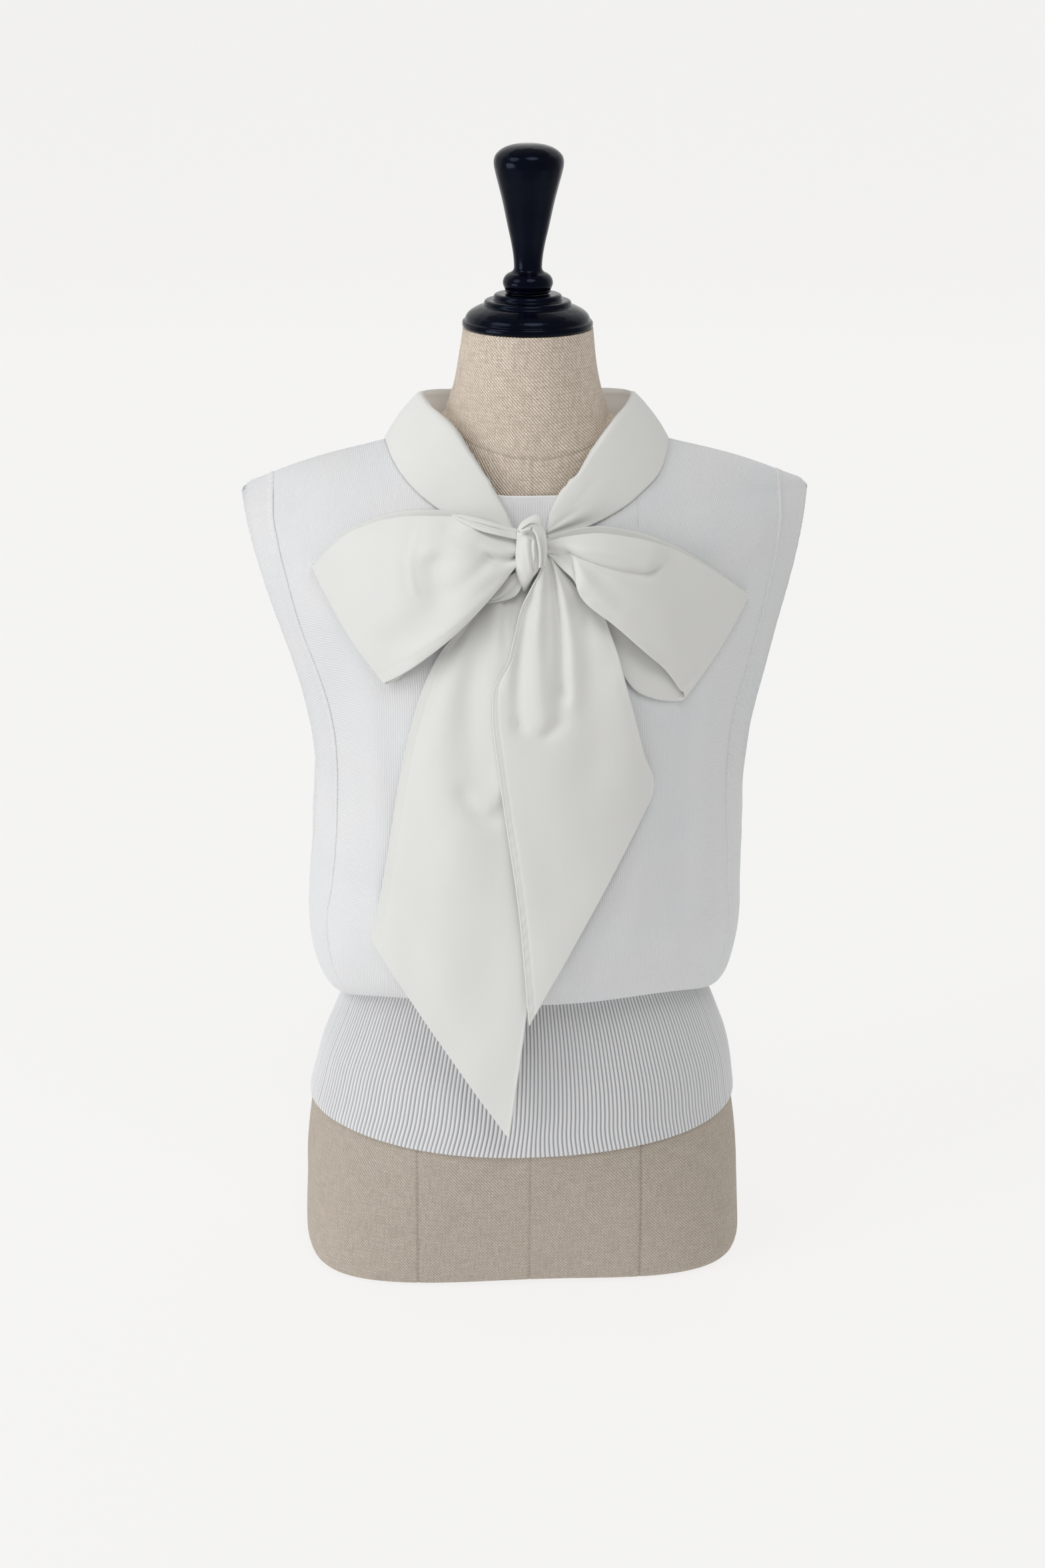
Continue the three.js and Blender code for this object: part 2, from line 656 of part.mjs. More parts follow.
// The rib-knit band inside the front neckline, which the collar covers at both sides.
function neckband() {
  const { outer, inner } = knitGrids('front', PANEL_STATIONS);
  const lower = neckCurve('front', SEAM_GAP);
  const upper = neckCurve('band', 0).reverse();
  return trim(wallMesh('neckband', outer, inner, KNIT), [...lower, ...upper], 'inside');
}

function waistRib() {
  const quadrant = [...PANEL_ANGLES.slice(0, -1), ARMBAND_ANGLE, ...ARMBAND_ANGLES.slice(1)];
  const stations = [
    ...quadrant.map((angle) => ['front', angle, 1]),
    ...quadrant.slice(0, -1).reverse().map((angle) => ['back', angle, 1]),
    ...quadrant.slice(1).map((angle) => ['back', angle, -1]),
    ...quadrant.slice(1, -1).reverse().map((angle) => ['front', angle, -1]),
  ];
  const ring = (row, proud) => stations.map(([side, angle, sign]) => {
    const top = rollBottom(side, angle) + RIB_OVERLAP;
    const z = HEM_HEIGHT + ((top - HEM_HEIGHT) * row) / RIB_ROWS;
    const { x, depth } = ribPoint(side, angle, z, proud);
    return new THREE.Vector3(sign * x, towards(side) * depth, z);
  });
  const rows = Array.from({ length: RIB_ROWS + 1 }, (_, row) => row);
  const outer = rows.map((row) => ring(row, RIB_CLEARANCE + KNIT_WALL));
  const inner = rows.map((row) => ring(row, RIB_CLEARANCE));
  return tubeMesh('waist_rib', outer, inner, KNIT);
}

// ---------- the woven collar and bow ----------
// A wall on both sides of a grid of points, which run along the piece and across it.
function clothMesh(name, grid, material) {
  const normals = grid.map((row, r) => row.map((point, c) => {
    const along = grid[Math.min(r + 1, grid.length - 1)][c].clone().sub(grid[Math.max(r - 1, 0)][c]);
    const across = row[Math.min(c + 1, row.length - 1)].clone().sub(row[Math.max(c - 1, 0)]);
    return along.cross(across).normalize();
  }));
  const layer = (distance) => grid.map((row, r) => row.map((point, c) => (
    point.clone().addScaledVector(normals[r][c], distance)
  )));
  return wallMesh(name, layer(WOVEN_WALL / 2), layer(-WOVEN_WALL / 2), material);
}

// A section of the collar: up the stand, over the fold and down the fall.
const FOLD = { width: 2.2, standDrop: 1.2, rise: 0.4, fallDrop: 1.6 };
const FALL = { bulge: 1.5, upper: 0.35, lower: 0.7 };

function collarSection(station, sign) {
  const place = (point) => point.setX(sign * point.x - station.shift);
  const fold = new THREE.Vector3(station.foldX, station.foldY, station.foldZ);
  const seam = overKnit(station.side, station.seamX, station.seamZ, station.seamLift);
  const edge = overKnit(station.side, station.edgeX, station.edgeZ, station.edgeLift);
  const down = edge.clone().sub(fold).normalize();
  const inward = seam.clone().sub(fold);
  inward.addScaledVector(down, -inward.dot(down)).normalize();
  const near = (inside, below) => fold.clone().addScaledVector(inward, inside).addScaledVector(down, below);
  const standTop = near(FOLD.width, FOLD.standDrop);
  const bulge = (share) => 4 * FALL.bulge * share * (1 - share);
  const fall = (share) => fold.clone().lerp(edge, share).addScaledVector(inward, -bulge(share));
  return [
    seam,
    standTop.clone().lerp(seam, 0.5),
    standTop,
    near(FOLD.width / 2, -FOLD.rise),
    near(0, FOLD.fallDrop),
    fall(FALL.upper),
    fall(FALL.lower),
    edge,
  ].map(place);
}

function collar() {
  const right = COLLAR_STATIONS.map((station) => collarSection(station, 1));
  const left = COLLAR_STATIONS.slice(0, -1).reverse().map((station) => collarSection(station, -1));
  return clothMesh('collar', [...right, ...left], WOVEN);
}

// A point in front of the knit. Below the fullest part of the body the cloth hangs straight.
function before(x, z, lift) {
  const depth = knitSurface('front', x, Math.max(z, LOWEST_SUPPORT));
  return new THREE.Vector3(x, -depth - lift, z);
}

function bowLoop(name, stations) {
  const share = (column) => column / (LOOP_COLUMNS_ACROSS - 1);
  const row = (station, layer) => Array.from({ length: LOOP_COLUMNS_ACROSS }, (_, column) => {
    const t = share(column);
    const bottomX = layer === 'front' ? station.lowX : station.backX;
    const bottomZ = layer === 'front' ? station.lowZ : station.backZ;
    const puff = layer === 'front' ? LOOP_PUFF * station.puff * Math.sin(Math.PI * t) : 0;
    const x = station.topX + (bottomX - station.topX) * t;
    const z = station.topZ + (bottomZ - station.topZ) * t;
    return before(x, z, station[`${layer}Lift`] + puff);
  });
  const last = stations.length - 1;
  const puffed = stations.map((station, i) => ({ ...station, puff: Math.sin((Math.PI * i) / last) }));
  const end = puffed[last];
  const turn = { ...end, frontLift: LOOP_END.lift, puff: 0 };
  turn.topX += Math.sign(end.topX) * LOOP_END.topReach;
  turn.lowX += Math.sign(end.lowX) * LOOP_END.lowReach;
  turn.topZ -= LOOP_END.drop;
  turn.lowZ -= LOOP_END.drop;
  return clothMesh(name, [
    ...puffed.map((station) => row(station, 'front')),
    row(turn, 'front'),
    ...[...puffed].reverse().map((station) => row(station, 'back')),
  ], WOVEN);
}

function bowTail(name, stations) {
  const grid = stations.map((station) => Array.from({ length: TAIL_COLUMNS_ACROSS }, (_, column) => {
    const t = column / (TAIL_COLUMNS_ACROSS - 1);
    const between = (from, to) => from + (to - from) * t;
    const fold = station.fold * Math.sin(Math.PI * t) ** 2;
    const lift = between(station.leftLift, station.rightLift) + fold;
    return before(between(station.leftX, station.rightX), between(station.leftZ, station.rightZ), lift);
  }));
  return clothMesh(name, grid, WOVEN);
}

function bowKnot() {
  const rings = KNOT_RINGS.map((ring) => Array.from({ length: KNOT_SIDES }, (_, i) => {
    const angle = (2 * Math.PI * i) / KNOT_SIDES;
    const x = ring.x + ring.halfWidth * Math.cos(angle);
    const y = ring.y + ring.halfDepth * Math.sin(angle);
    return new THREE.Vector3(x, y, ring.z);
  }));
  return ringMesh('bow_knot', rings, WOVEN);
}

const top = new THREE.Group();
top.add(formTorso(), formCap(), formFinial());
top.add(bodyPanel('knit_front', 'front'), bodyPanel('knit_back', 'back'));
top.add(armband('armband_left', -1), armband('armband_right', 1));
top.add(waistRib(), neckband());
top.add(collar(), bowKnot());
top.add(bowLoop('bow_loop_left', LEFT_LOOP), bowLoop('bow_loop_right', RIGHT_LOOP));
top.add(bowTail('bow_tail_left', LEFT_TAIL), bowTail('bow_tail_right', RIGHT_TAIL));

export default top;
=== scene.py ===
"""Looks for the sleeveless knit top with a tied bow, on its dress form.
Shapes are worked out in millimetres, in the CAD's frame, and turned into metres when a mesh is made."""
import math

import bmesh
import bpy
import numpy as np
from mathutils import Matrix, Vector

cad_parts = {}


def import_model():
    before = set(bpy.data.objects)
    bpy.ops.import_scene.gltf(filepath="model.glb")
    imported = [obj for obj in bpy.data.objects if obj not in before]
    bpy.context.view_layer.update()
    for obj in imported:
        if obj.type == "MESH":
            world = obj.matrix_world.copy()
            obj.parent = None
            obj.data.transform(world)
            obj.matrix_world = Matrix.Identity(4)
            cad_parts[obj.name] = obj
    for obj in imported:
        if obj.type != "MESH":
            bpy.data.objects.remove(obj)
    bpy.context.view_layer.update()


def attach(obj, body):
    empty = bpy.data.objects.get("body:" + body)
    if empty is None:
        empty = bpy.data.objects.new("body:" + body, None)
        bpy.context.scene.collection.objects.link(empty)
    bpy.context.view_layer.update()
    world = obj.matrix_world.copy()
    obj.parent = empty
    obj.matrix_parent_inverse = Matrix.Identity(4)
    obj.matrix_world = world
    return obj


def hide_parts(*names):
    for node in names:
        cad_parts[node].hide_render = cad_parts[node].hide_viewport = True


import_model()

# ---------- camera ----------
AZIMUTH = math.radians(-3.7)
HEADING = math.radians(-3.66421)
PITCH = math.radians(20.0)
ROLL = math.radians(0.44)
CAMERA_REACH = 1.790
CAMERA_HEIGHT = 1.030
LENS = 56.33319


def make_camera():
    data = bpy.data.cameras.new("camera")
    data.lens = LENS
    camera = bpy.data.objects.new("camera", data)
    bpy.context.scene.collection.objects.link(camera)
    place = (math.sin(AZIMUTH) * CAMERA_REACH, -math.cos(AZIMUTH) * CAMERA_REACH, CAMERA_HEIGHT)
    camera.matrix_world = (
        Matrix.Translation(place)
        @ Matrix.Rotation(HEADING, 4, "Z")
        @ Matrix.Rotation(math.pi / 2 - PITCH, 4, "X")
        @ Matrix.Rotation(ROLL, 4, "Z")
    )
    bpy.context.scene.camera = camera


make_camera()

# ---------- sizes, as in the CAD ----------
KNIT_WALL = 2.0
WOVEN_WALL = 1.2
SEAM_GAP = 0.3
RIB_CLEARANCE = 0.6
TIP_X, TIP_Z = 211.0, 612.5
SHOULDER_SLOPE = 0.334
SHOULDER_BOW = 2.6
TIP_CORNER = 8.5
TIP_LIFT = 5.0
ROUNDING = 62.0
FORM_DROP = 2.9
NECK_CORNER = 76.0
HEM = 115.0
SEAM_ANGLE = 66.0
SEAM_HALF = 0.06
HANG_FROM = 300.0
NECKLINE_EASE = 2.6
ROLL_HEIGHT = 70.0
ROLL_CURL = 3.6
ROLL_GAP = 0.5
RIB_OVERLAP = 9.0
FOLD_STEPS = 61
FOLD_END = 1.35
ROLL_BOTTOM = {"front": (213.0, 236.4, 5.0), "back": (213.0, 224.0, 4.0)}
NECKLINE = {
    "front": (602.0, 0.0, NECK_CORNER, 3.0),
    "back": (651.0, 0.0, NECK_CORNER, 2.4),
    "band": (624.5, 20.0, 69.0, 1.8),
}
TOWARDS = {"front": -1.0, "back": 1.0}


class Table:
    """Rows of values at rising positions, each column interpolated with a monotone cubic."""

    def __init__(self, columns, rows):
        data = np.array(rows, float)
        self.columns = columns.split()[1:]
        self.at, self.values = data[:, 0], data[:, 1:]
        rise = np.diff(self.values, axis=0) / np.diff(self.at)[:, None]
        product = rise[:-1] * rise[1:]
        total = np.where(product > 0, rise[:-1] + rise[1:], 1)
        inner = np.where(product > 0, 2 * product / total, 0)
        self.slope = np.vstack([rise[:1], inner, rise[-1:]])

    def __call__(self, column, at):
        k = self.columns.index(column)
        at = np.clip(np.asarray(at, float), self.at[0], self.at[-1])
        i = np.clip(np.searchsorted(self.at, at), 1, len(self.at) - 1)
        span = self.at[i] - self.at[i - 1]
        t = (at - self.at[i - 1]) / span
        low, high = self.values[i - 1, k], self.values[i, k]
        start = (low * (1 + 2 * t) + span * self.slope[i - 1, k] * t) * (1 - t) ** 2
        return start + high * t * t * (3 - 2 * t) - span * self.slope[i, k] * t * t * (1 - t)


FORM = Table("z halfWidth front back power", [
    (0, 165.5, 106, 100, 4),
    (4, 172, 112.5, 106, 4),
    (14, 175, 115.5, 110, 3.8),
    (67, 174, 115, 112, 3),
    (115, 169.5, 113.5, 112, 2.2),
    (138, 165.4, 112, 111, 2.1),
    (163, 160, 109, 106, 2.1),
    (185, 151.8, 103.5, 98, 2.1),
    (207, 143, 98, 92, 2.1),
    (250, 125, 88, 80, 2.1),
    (275, 121, 86, 77, 2.1),
    (310, 123, 91, 79, 2.1),
    (350, 129, 102, 84, 2.1),
    (400, 137, 117, 92, 2.1),
    (440, 141, 120.5, 97, 2.1),
    (480, 146, 114.5, 99, 2.1),
    (520, 155, 104, 99, 2.1),
    (560, 167, 90.5, 95, 2.1),
    (600, 177, 74, 85, 2.1),
    (625, 178, 65.5, 77, 2.1),
    (640, 178, 62.5, 73, 2.1),
    (660, 178, 58, 69, 2.1),
])
NECK = Table("z radius", [
    (620, 70), (647, 63.7), (660, 60.5), (675, 57), (690, 53.5), (710, 50), (732, 47.4),
])
KNIT = Table("z front back", [
    (200, 129, 109),
    (245, 130, 111),
    (300, 129.5, 111),
    (350, 128.5, 109.5),
    (400, 127, 107.5),
    (440, 124.5, 106.5),
    (480, 118.5, 106),
    (520, 109.5, 105),
    (560, 98, 102),
    (600, 84, 95),
    (625, 74.5, 87),
    (650, 67, 81),
    (690, 60, 79),
])
EDGE = Table("z front back frontOpen backOpen", [
    (200, 166, 166, 0, 0),
    (245, 168.5, 168.5, 0, 0),
    (275, 170, 170, 0, 0),
    (302, 169, 169, 0, 0),
    (328, 167.5, 168, 2, 2),
    (345, 165.5, 168.5, 15, 13),
    (365, 163.5, 168.5, 25, 22),
    (390, 162, 168, 33, 29),
    (434, 164.5, 168, 42, 37),
    (456, 168, 169, 42.5, 38),
    (486, 175, 175.5, 42, 38),
    (515, 183.5, 184, 38, 35),
    (546, 193.5, 194, 31, 29),
    (579, 203.5, 203.5, 18.5, 18),
    (600, 208.5, 208.5, 8, 8),
    (TIP_Z, 210.4, 210.4, 0, 0),
])
SEAM = Table("z x", [
    (200, 150),
    (245, 153.5),
    (290, 155),
    (318, 151.5),
    (348, 149),
    (380, 147),
    (410, 146.5),
    (434, 147.5),
    (456, 150.5),
    (486, 158.5),
    (516, 168.5),
    (556, 179),
    (579, 184.5),
    (600, 188),
    (620, 188),
])

# How far the whole body, with the form inside it, leans to its own left at each height.
LEAN = Table("z x", [
    (110, 0), (122, 0.3), (150, 2), (195, 2.8), (225, 2), (250, 1), (300, 1.5), (350, 3), (470, 3),
    (540, 0.6), (600, 0),
])


# ---------- small maths ----------
def smooth(value, low, high):
    t = np.clip((np.asarray(value, float) - low) / (high - low), 0, 1)
    return t * t * (3 - 2 * t)


def bell(value, centre, width):
    return np.exp(-(((value - centre) / width) ** 2))


def unit(vectors):
    length = np.linalg.norm(vectors, axis=-1, keepdims=True)
    return vectors / np.maximum(length, 1e-9)


def stack(x, y, z):
    return np.stack(np.broadcast_arrays(x, y, z), -1).astype(float)


def waves(x, z, wavelength, seed, count=7):
    """A soft random field between about -1 and 1, from a few sine waves in fixed directions."""
    rng = np.random.default_rng(seed)
    total = np.zeros(np.broadcast(x, z).shape)
    for _ in range(count):
        turn = rng.uniform(0, 2 * math.pi)
        k = 2 * math.pi / (wavelength * rng.uniform(0.7, 1.5))
        total += np.sin(k * (x * math.cos(turn) + z * math.sin(turn)) + rng.uniform(0, 2 * math.pi))
    return total / math.sqrt(count * 1.4)


def chords(points):
    """Shares from 0 to 1 of the length of a broken line, at each of its points."""
    steps = np.linalg.norm(np.diff(points, axis=0), axis=1)
    return np.concatenate([[0], np.cumsum(steps)]) / steps.sum()


def curve(points, at, along=None):
    """A smooth line through points, read at shares from 0 to 1 of their chord length or a given spacing."""
    points = np.array(points, float)
    along = chords(points) if along is None else along
    slope = np.gradient(points, along, axis=0)
    at = np.clip(np.asarray(at, float), 0, 1)
    i = np.clip(np.searchsorted(along, at), 1, len(along) - 1)
    span = (along[i] - along[i - 1])[..., None]
    t = ((at - along[i - 1]) / (along[i] - along[i - 1]))[..., None]
    a, b = points[i - 1], points[i]
    return (
        (a * (1 + 2 * t) + span * slope[i - 1] * t) * (1 - t) ** 2
        + (b * (3 - 2 * t) - span * slope[i] * (1 - t)) * t * t
    )


def bent_line(places):
    """A smooth line that starts at the first place, leans towards the second and ends at the third."""
    t = np.linspace(0, 1, FOLD_STEPS)
    a, b, c = places
    return (1 - t) ** 2 * a + 2 * t * (1 - t) * b + t**2 * c


def creases(x, z, rows):
    """Heights of soft folds. Each row is a bent line (three places), its width and height at both ends and,
    where its sides differ, how wide its left side is against its right."""
    total = np.zeros(np.broadcast(x, z).shape)
    share = np.linspace(0, 1, FOLD_STEPS)
    for x0, z0, x1, z1, x2, z2, wide0, wide1, high0, high1, *left in rows:
        line_x, line_z = bent_line((x0, x1, x2)), bent_line((z0, z1, z2))
        near = np.argmin((x[..., None] - line_x) ** 2 + (z[..., None] - line_z) ** 2, axis=-1)
        go = unit(np.stack([np.gradient(line_x), np.gradient(line_z)], -1))[near]
        dx, dz = x - line_x[near], z - line_z[near]
        side = go[..., 0] * dz - go[..., 1] * dx
        beyond = go[..., 0] * dx + go[..., 1] * dz
        wide = wide0 + (wide1 - wide0) * share[near]
        off = np.abs(side) / np.where(side > 0, wide * (left or [1.0])[0], wide)
        past = np.where(near == 0, np.maximum(-beyond, 0), 0)
        past += np.where(near == FOLD_STEPS - 1, np.maximum(beyond, 0), 0)
        high = high0 + (high1 - high0) * share[near]
        total += high * np.exp(-(off**2) - (past / (FOLD_END * wide)) ** 2)
    return total


# ---------- the body's surfaces ----------
def ridge(x):
    """The height of the shoulder line, which is rounded off at the tip."""
    from_tip = np.clip(TIP_X - np.abs(x), 0, None)
    bow = SHOULDER_BOW * np.sin(math.pi * np.clip(from_tip / (TIP_X - NECK_CORNER), 0, 1)) ** 2
    corner = TIP_CORNER - np.minimum(from_tip, TIP_CORNER)
    raised = TIP_LIFT * (1 - smooth(from_tip, 24, 110)) - TIP_CORNER + np.sqrt(TIP_CORNER**2 - corner**2)
    return TIP_Z + from_tip * SHOULDER_SLOPE + bow + raised


def shoulder_round(drop):
    """How full the body is below the shoulder, from 0 on the ridge to 1."""
    t = np.minimum(np.maximum(drop, 0) / ROUNDING, 1)
    return np.sqrt(1 - (1 - t) ** 2)


def turn_of(drop):
    """The turn over the rounded shoulder, and down past it, that is this far below the ridge."""
    round_part = np.arccos(np.clip(1 - drop / ROUNDING, -1, 1))
    return np.where(drop < ROUNDING, round_part, math.pi / 2 + (drop - ROUNDING) / ROUNDING)


def fall_of(turn):
    return ROUNDING * np.where(turn < math.pi / 2, 1 - np.cos(turn), 1 + turn - math.pi / 2)


def knit_depth(side, x, z):
    """How far in front of the middle, or behind it, the knit hangs."""
    edge, opened = EDGE(side, z), EDGE(side + "Open", z)
    share = np.minimum(np.abs(x) / edge, 1)
    flat = smooth(z, 325, 450)
    shape = np.maximum(1 - share ** (2.1 + 0.2 * flat), 0) ** (0.48 + 0.52 * flat)
    full = opened + (KNIT(side, z) - opened) * shape
    return SEAM_GAP / 2 + shoulder_round(ridge(x) - z) * full


def column_x(side, angle, z):
    """How far from the middle a column of the knit runs at a height."""
    seam = SEAM("x", z)
    most = math.sin(math.radians(SEAM_ANGLE))
    sine = np.sin(np.radians(angle))
    outer = seam + (EDGE(side, z) - seam) * (sine - most) / (1 - most)
    return np.where(angle <= SEAM_ANGLE, seam * sine / most, outer)


def hip_point(depth, angle, z, proud):
    """How far out and how deep the hips are at an angle from the centre, this far outside the form."""
    sine, cosine = np.abs(np.sin(np.radians(angle))), np.abs(np.cos(np.radians(angle)))
    power = 2 / FORM("power", z)
    return (FORM("halfWidth", z) + proud) * sine**power, (depth + proud) * cosine**power


def roll_bottom(side, angle):
    low, centre, power = ROLL_BOTTOM[side]
    return centre + (low - centre) * np.abs(np.sin(np.radians(angle))) ** power


def neck_height(edge, x):
    centre, flat, reach, power = NECKLINE[edge]
    share = np.maximum(np.abs(x) - flat, 0) / (reach - flat)
    return centre + (ridge(reach) - centre) * share**power


def knit_grid(side, angles, rows):
    """The knit's outer surface on signed angles from the centre: down the body, round the roll and up
    behind it."""
    angle, sign = np.abs(angles), np.sign(angles)
    high = np.full(angle.shape, TIP_Z)
    for _ in range(60):
        high = 0.6 * high + 0.4 * ridge(column_x(side, angle, high))
    x_top = column_x(side, angle, high)
    line = np.where(x_top < NECK_CORNER, neck_height(side, x_top), high)
    bottom = roll_bottom(side, angle)
    share = np.linspace(0, 1, rows)[:, None]
    turns = turn_of(high - bottom - ROLL_HEIGHT) * share + turn_of(high - line) * (1 - share) ** NECKLINE_EASE
    z = high - fall_of(turns)
    x = column_x(side, angle, z)
    body = stack(sign * x, TOWARDS[side] * knit_depth(side, x, z), z)

    def seat(height):
        seat_x, depth = hip_point(FORM(side, height), angle, height, RIB_CLEARANCE + KNIT_WALL)
        return stack(sign * seat_x, TOWARDS[side] * np.maximum(depth, SEAM_GAP / 2), height)

    base = seat(bottom)
    across = (body[-1] - base) * [1, 1, 0]
    reach = np.linalg.norm(across, axis=-1) - ROLL_GAP - ROLL_CURL
    out = unit(across)
    roll, curl = [], []
    for turn in np.radians(np.linspace(0, 90, rows // 4)[1:]):
        height = bottom + ROLL_HEIGHT * (1 - math.sin(turn))
        off = (ROLL_GAP + ROLL_CURL + reach * math.cos(turn))[:, None]
        roll.append((base + out * off) * [1, 1, 0] + stack(0, 0, height))
    for turn in np.radians(np.linspace(0, 90, 6)[1:]):
        height = bottom + ROLL_CURL * (1 - math.cos(turn))
        curl.append(seat(height) + out * (ROLL_GAP + ROLL_CURL * (1 - math.sin(turn))))
    tuck = seat(bottom + 2 * ROLL_CURL) + out * ROLL_GAP
    return np.concatenate([body, roll, curl, [tuck]])


def before(x, z, lift):
    """A point in front of the knit. Below the fullest part of the body the cloth hangs straight."""
    return stack(x, -knit_depth("front", x, np.maximum(z, HANG_FROM)) - lift, z)


def over_knit(side, x, z, lift):
    """A point off the knit, moved out along its normal."""
    turn = turn_of(np.maximum(ridge(x) - z, 0))

    def surface(across, at):
        below = np.maximum(fall_of(at), 1)
        full = (knit_depth(side, across, ridge(across) - below) - SEAM_GAP / 2) / shoulder_round(below)
        depth = full * np.where(at < math.pi / 2, np.sin(at), 1)
        return stack(across, TOWARDS[side] * depth, ridge(across) - fall_of(at))

    across = surface(x + 0.5, turn) - surface(x - 0.5, turn)
    down = surface(x, turn + 0.01) - surface(x, turn - 0.01)
    normal = unit(np.cross(across, down) * TOWARDS[side])
    return surface(x, turn) + normal * np.asarray(lift)[..., None]


# ---------- meshes ----------
def normals_of(grid, closed=False):
    across = np.roll(grid, -1, 1) - np.roll(grid, 1, 1) if closed else np.gradient(grid, axis=1)
    return unit(np.cross(across, np.gradient(grid, axis=0)))


def facing(grid, way):
    """A grid's normals, on the side of it that looks this way on the whole."""
    normal = normals_of(grid)
    return -normal if (normal * way).sum() < 0 else normal


def outward(grid, out):
    """The normals of a closed grid, each turned to look out."""
    normal = normals_of(grid, True)
    return np.where((normal * out).sum(-1, keepdims=True) < 0, -normal, normal)


def arc(grid, axis):
    """Distance along a grid's rows or columns, in millimetres, from their middle."""
    steps = np.linalg.norm(np.diff(grid, axis=axis), axis=-1)
    total = np.concatenate([np.zeros_like(np.take(steps, [0], axis)), np.cumsum(steps, axis)], axis)
    return total - np.take(total, [total.shape[axis] // 2], axis)


def every(count, step):
    """For each of some points in a row, the number of the nearest kept point, when one in step is kept."""
    return np.minimum((np.arange(count) + step // 2) // step * step, count - 1)


class Shape:
    """Collects walls and skins into one mesh. Each point has a weave place and each face a flat map."""

    def __init__(self, leans=False):
        self.points, self.weave, self.quads, self.maps = [], [], [], []
        self.count = 0
        self.leans = leans

    def add(self, points, weave):
        if self.leans:
            points = points + stack(LEAN("x", points[..., 2]), 0, 0)
        self.points.append(points.reshape(-1, 3))
        self.weave.append(weave.reshape(-1, 3))
        rows, columns = points.shape[:2]
        self.count += rows * columns
        return np.arange(self.count - rows * columns, self.count).reshape(rows, columns)

    def faces(self, index, box, closed=False, flip=False, step=1):
        """Quads of a grid of point numbers, laid out on a box of the flat map."""
        across, along = every(index.shape[1], step), every(index.shape[0], step)
        if closed:
            across = np.append(across, index.shape[1])
            index = np.concatenate([index, index[:, :1]], 1)
        u = box[0] + (box[2] - box[0]) * across / across[-1]
        v = box[1] + (box[3] - box[1]) * along / along[-1]
        uv = np.stack(np.meshgrid(u, v), -1)
        less, more = slice(0, -1), slice(1, None)
        corners = [(less, less), (less, more), (more, more), (more, less)]
        if flip:
            corners.reverse()
        self.quads.append(np.stack([index[c] for c in corners], -1).reshape(-1, 4))
        self.maps.append(np.stack([uv[c] for c in corners], -2).reshape(-1, 2))

    def wall(
        self, outer, thickness, weave, out, closed=False, box=(0, 0, 1, 1), inner=None, edge=0.45, step=2
    ):
        """A closed wall behind an outer grid, with rounded edges. out says which way the outer side looks.
        The inner side keeps one point in step each way, and build welds the rest onto their neighbours."""
        normal = normals_of(outer, closed)
        if (normal * out).sum() < 0:
            outer, weave, normal = outer[:, ::-1], weave[:, ::-1], -normal[:, ::-1]
            inner = None if inner is None else inner[:, ::-1]
        if inner is None:
            inner = outer - normal * thickness
        kept = np.ix_(every(outer.shape[0], step), every(outer.shape[1], step))
        a, b = self.add(outer, weave), self.add(inner[kept], weave[kept])
        x0, y0, x1, y1 = box
        mid = (x0 + x1) / 2
        self.faces(a, (x0 + 0.01, y0 + 0.01, mid - 0.015, y1 - 0.01), closed)
        self.faces(b, (mid + 0.015, y0 + 0.01, x1 - 0.01, y1 - 0.01), closed, True, step)
        rims = [(np.s_[0], np.s_[1], True), (np.s_[-1], np.s_[-2], False)]
        if not closed:
            rims += [(np.s_[:, 0], np.s_[:, 1], False), (np.s_[:, -1], np.s_[:, -2], True)]
        for k, (at, next_in, flip) in enumerate(rims):
            left = mid + (-0.01, 0.002)[k // 2]
            low, high = ((y0 + 0.01, y0 + 0.48), (y0 + 0.5, y1 - 0.01))[k % 2]
            away = unit(outer[at] - outer[next_in]) * thickness * edge
            middle = self.add(((outer[at] + inner[at]) / 2 + away)[None], weave[at][None])[0]
            self.faces(np.stack([a[at], middle, b[at]]), (left, low, left + 0.007, high), closed, flip)

    def cloth(self, middle, thickness, normal, box=(0, 0, 1, 1), edge=0.45):
        """A wall on both sides of a middle surface, whose weave follows that surface."""
        weave = stack(arc(middle, 1), arc(middle, 0), 0.0)
        self.wall(middle + normal * thickness / 2, thickness, weave, normal, box=box, edge=edge)

    def skin(self, grid, weave, box=(0.01, 0.01, 0.99, 0.99)):
        self.faces(self.add(grid, weave), box, closed=True)

    def build(self, name, look, weld=0.02):
        """Makes the piece. It stands for the CAD node that it is named after, and rides on the only body."""
        mesh = bpy.data.meshes.new(name)
        quads = np.concatenate(self.quads)
        mesh.from_pydata((np.concatenate(self.points) * 0.001).tolist(), [], quads.tolist())
        place = mesh.attributes.new("weave", "FLOAT_VECTOR", "POINT")
        place.data.foreach_set("vector", np.concatenate(self.weave).astype(np.float32).ravel())
        layer = mesh.uv_layers.new(name="OFBake", do_init=False)
        layer.uv.foreach_set("vector", np.concatenate(self.maps).astype(np.float32).ravel())
        mesh.polygons.foreach_set("use_smooth", np.ones(len(quads), bool))
        bm = bmesh.new()
        bm.from_mesh(mesh)
        bmesh.ops.remove_doubles(bm, verts=bm.verts, dist=weld * 0.001)
        bm.to_mesh(mesh)
        bm.free()
        mesh.materials.append(MATERIALS[look])
        mesh.update()
        piece = bpy.data.objects.new(name, mesh)
        bpy.context.scene.collection.objects.link(piece)
        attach(piece, "root")
        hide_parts(name.rsplit("_", 1)[0])
        return piece


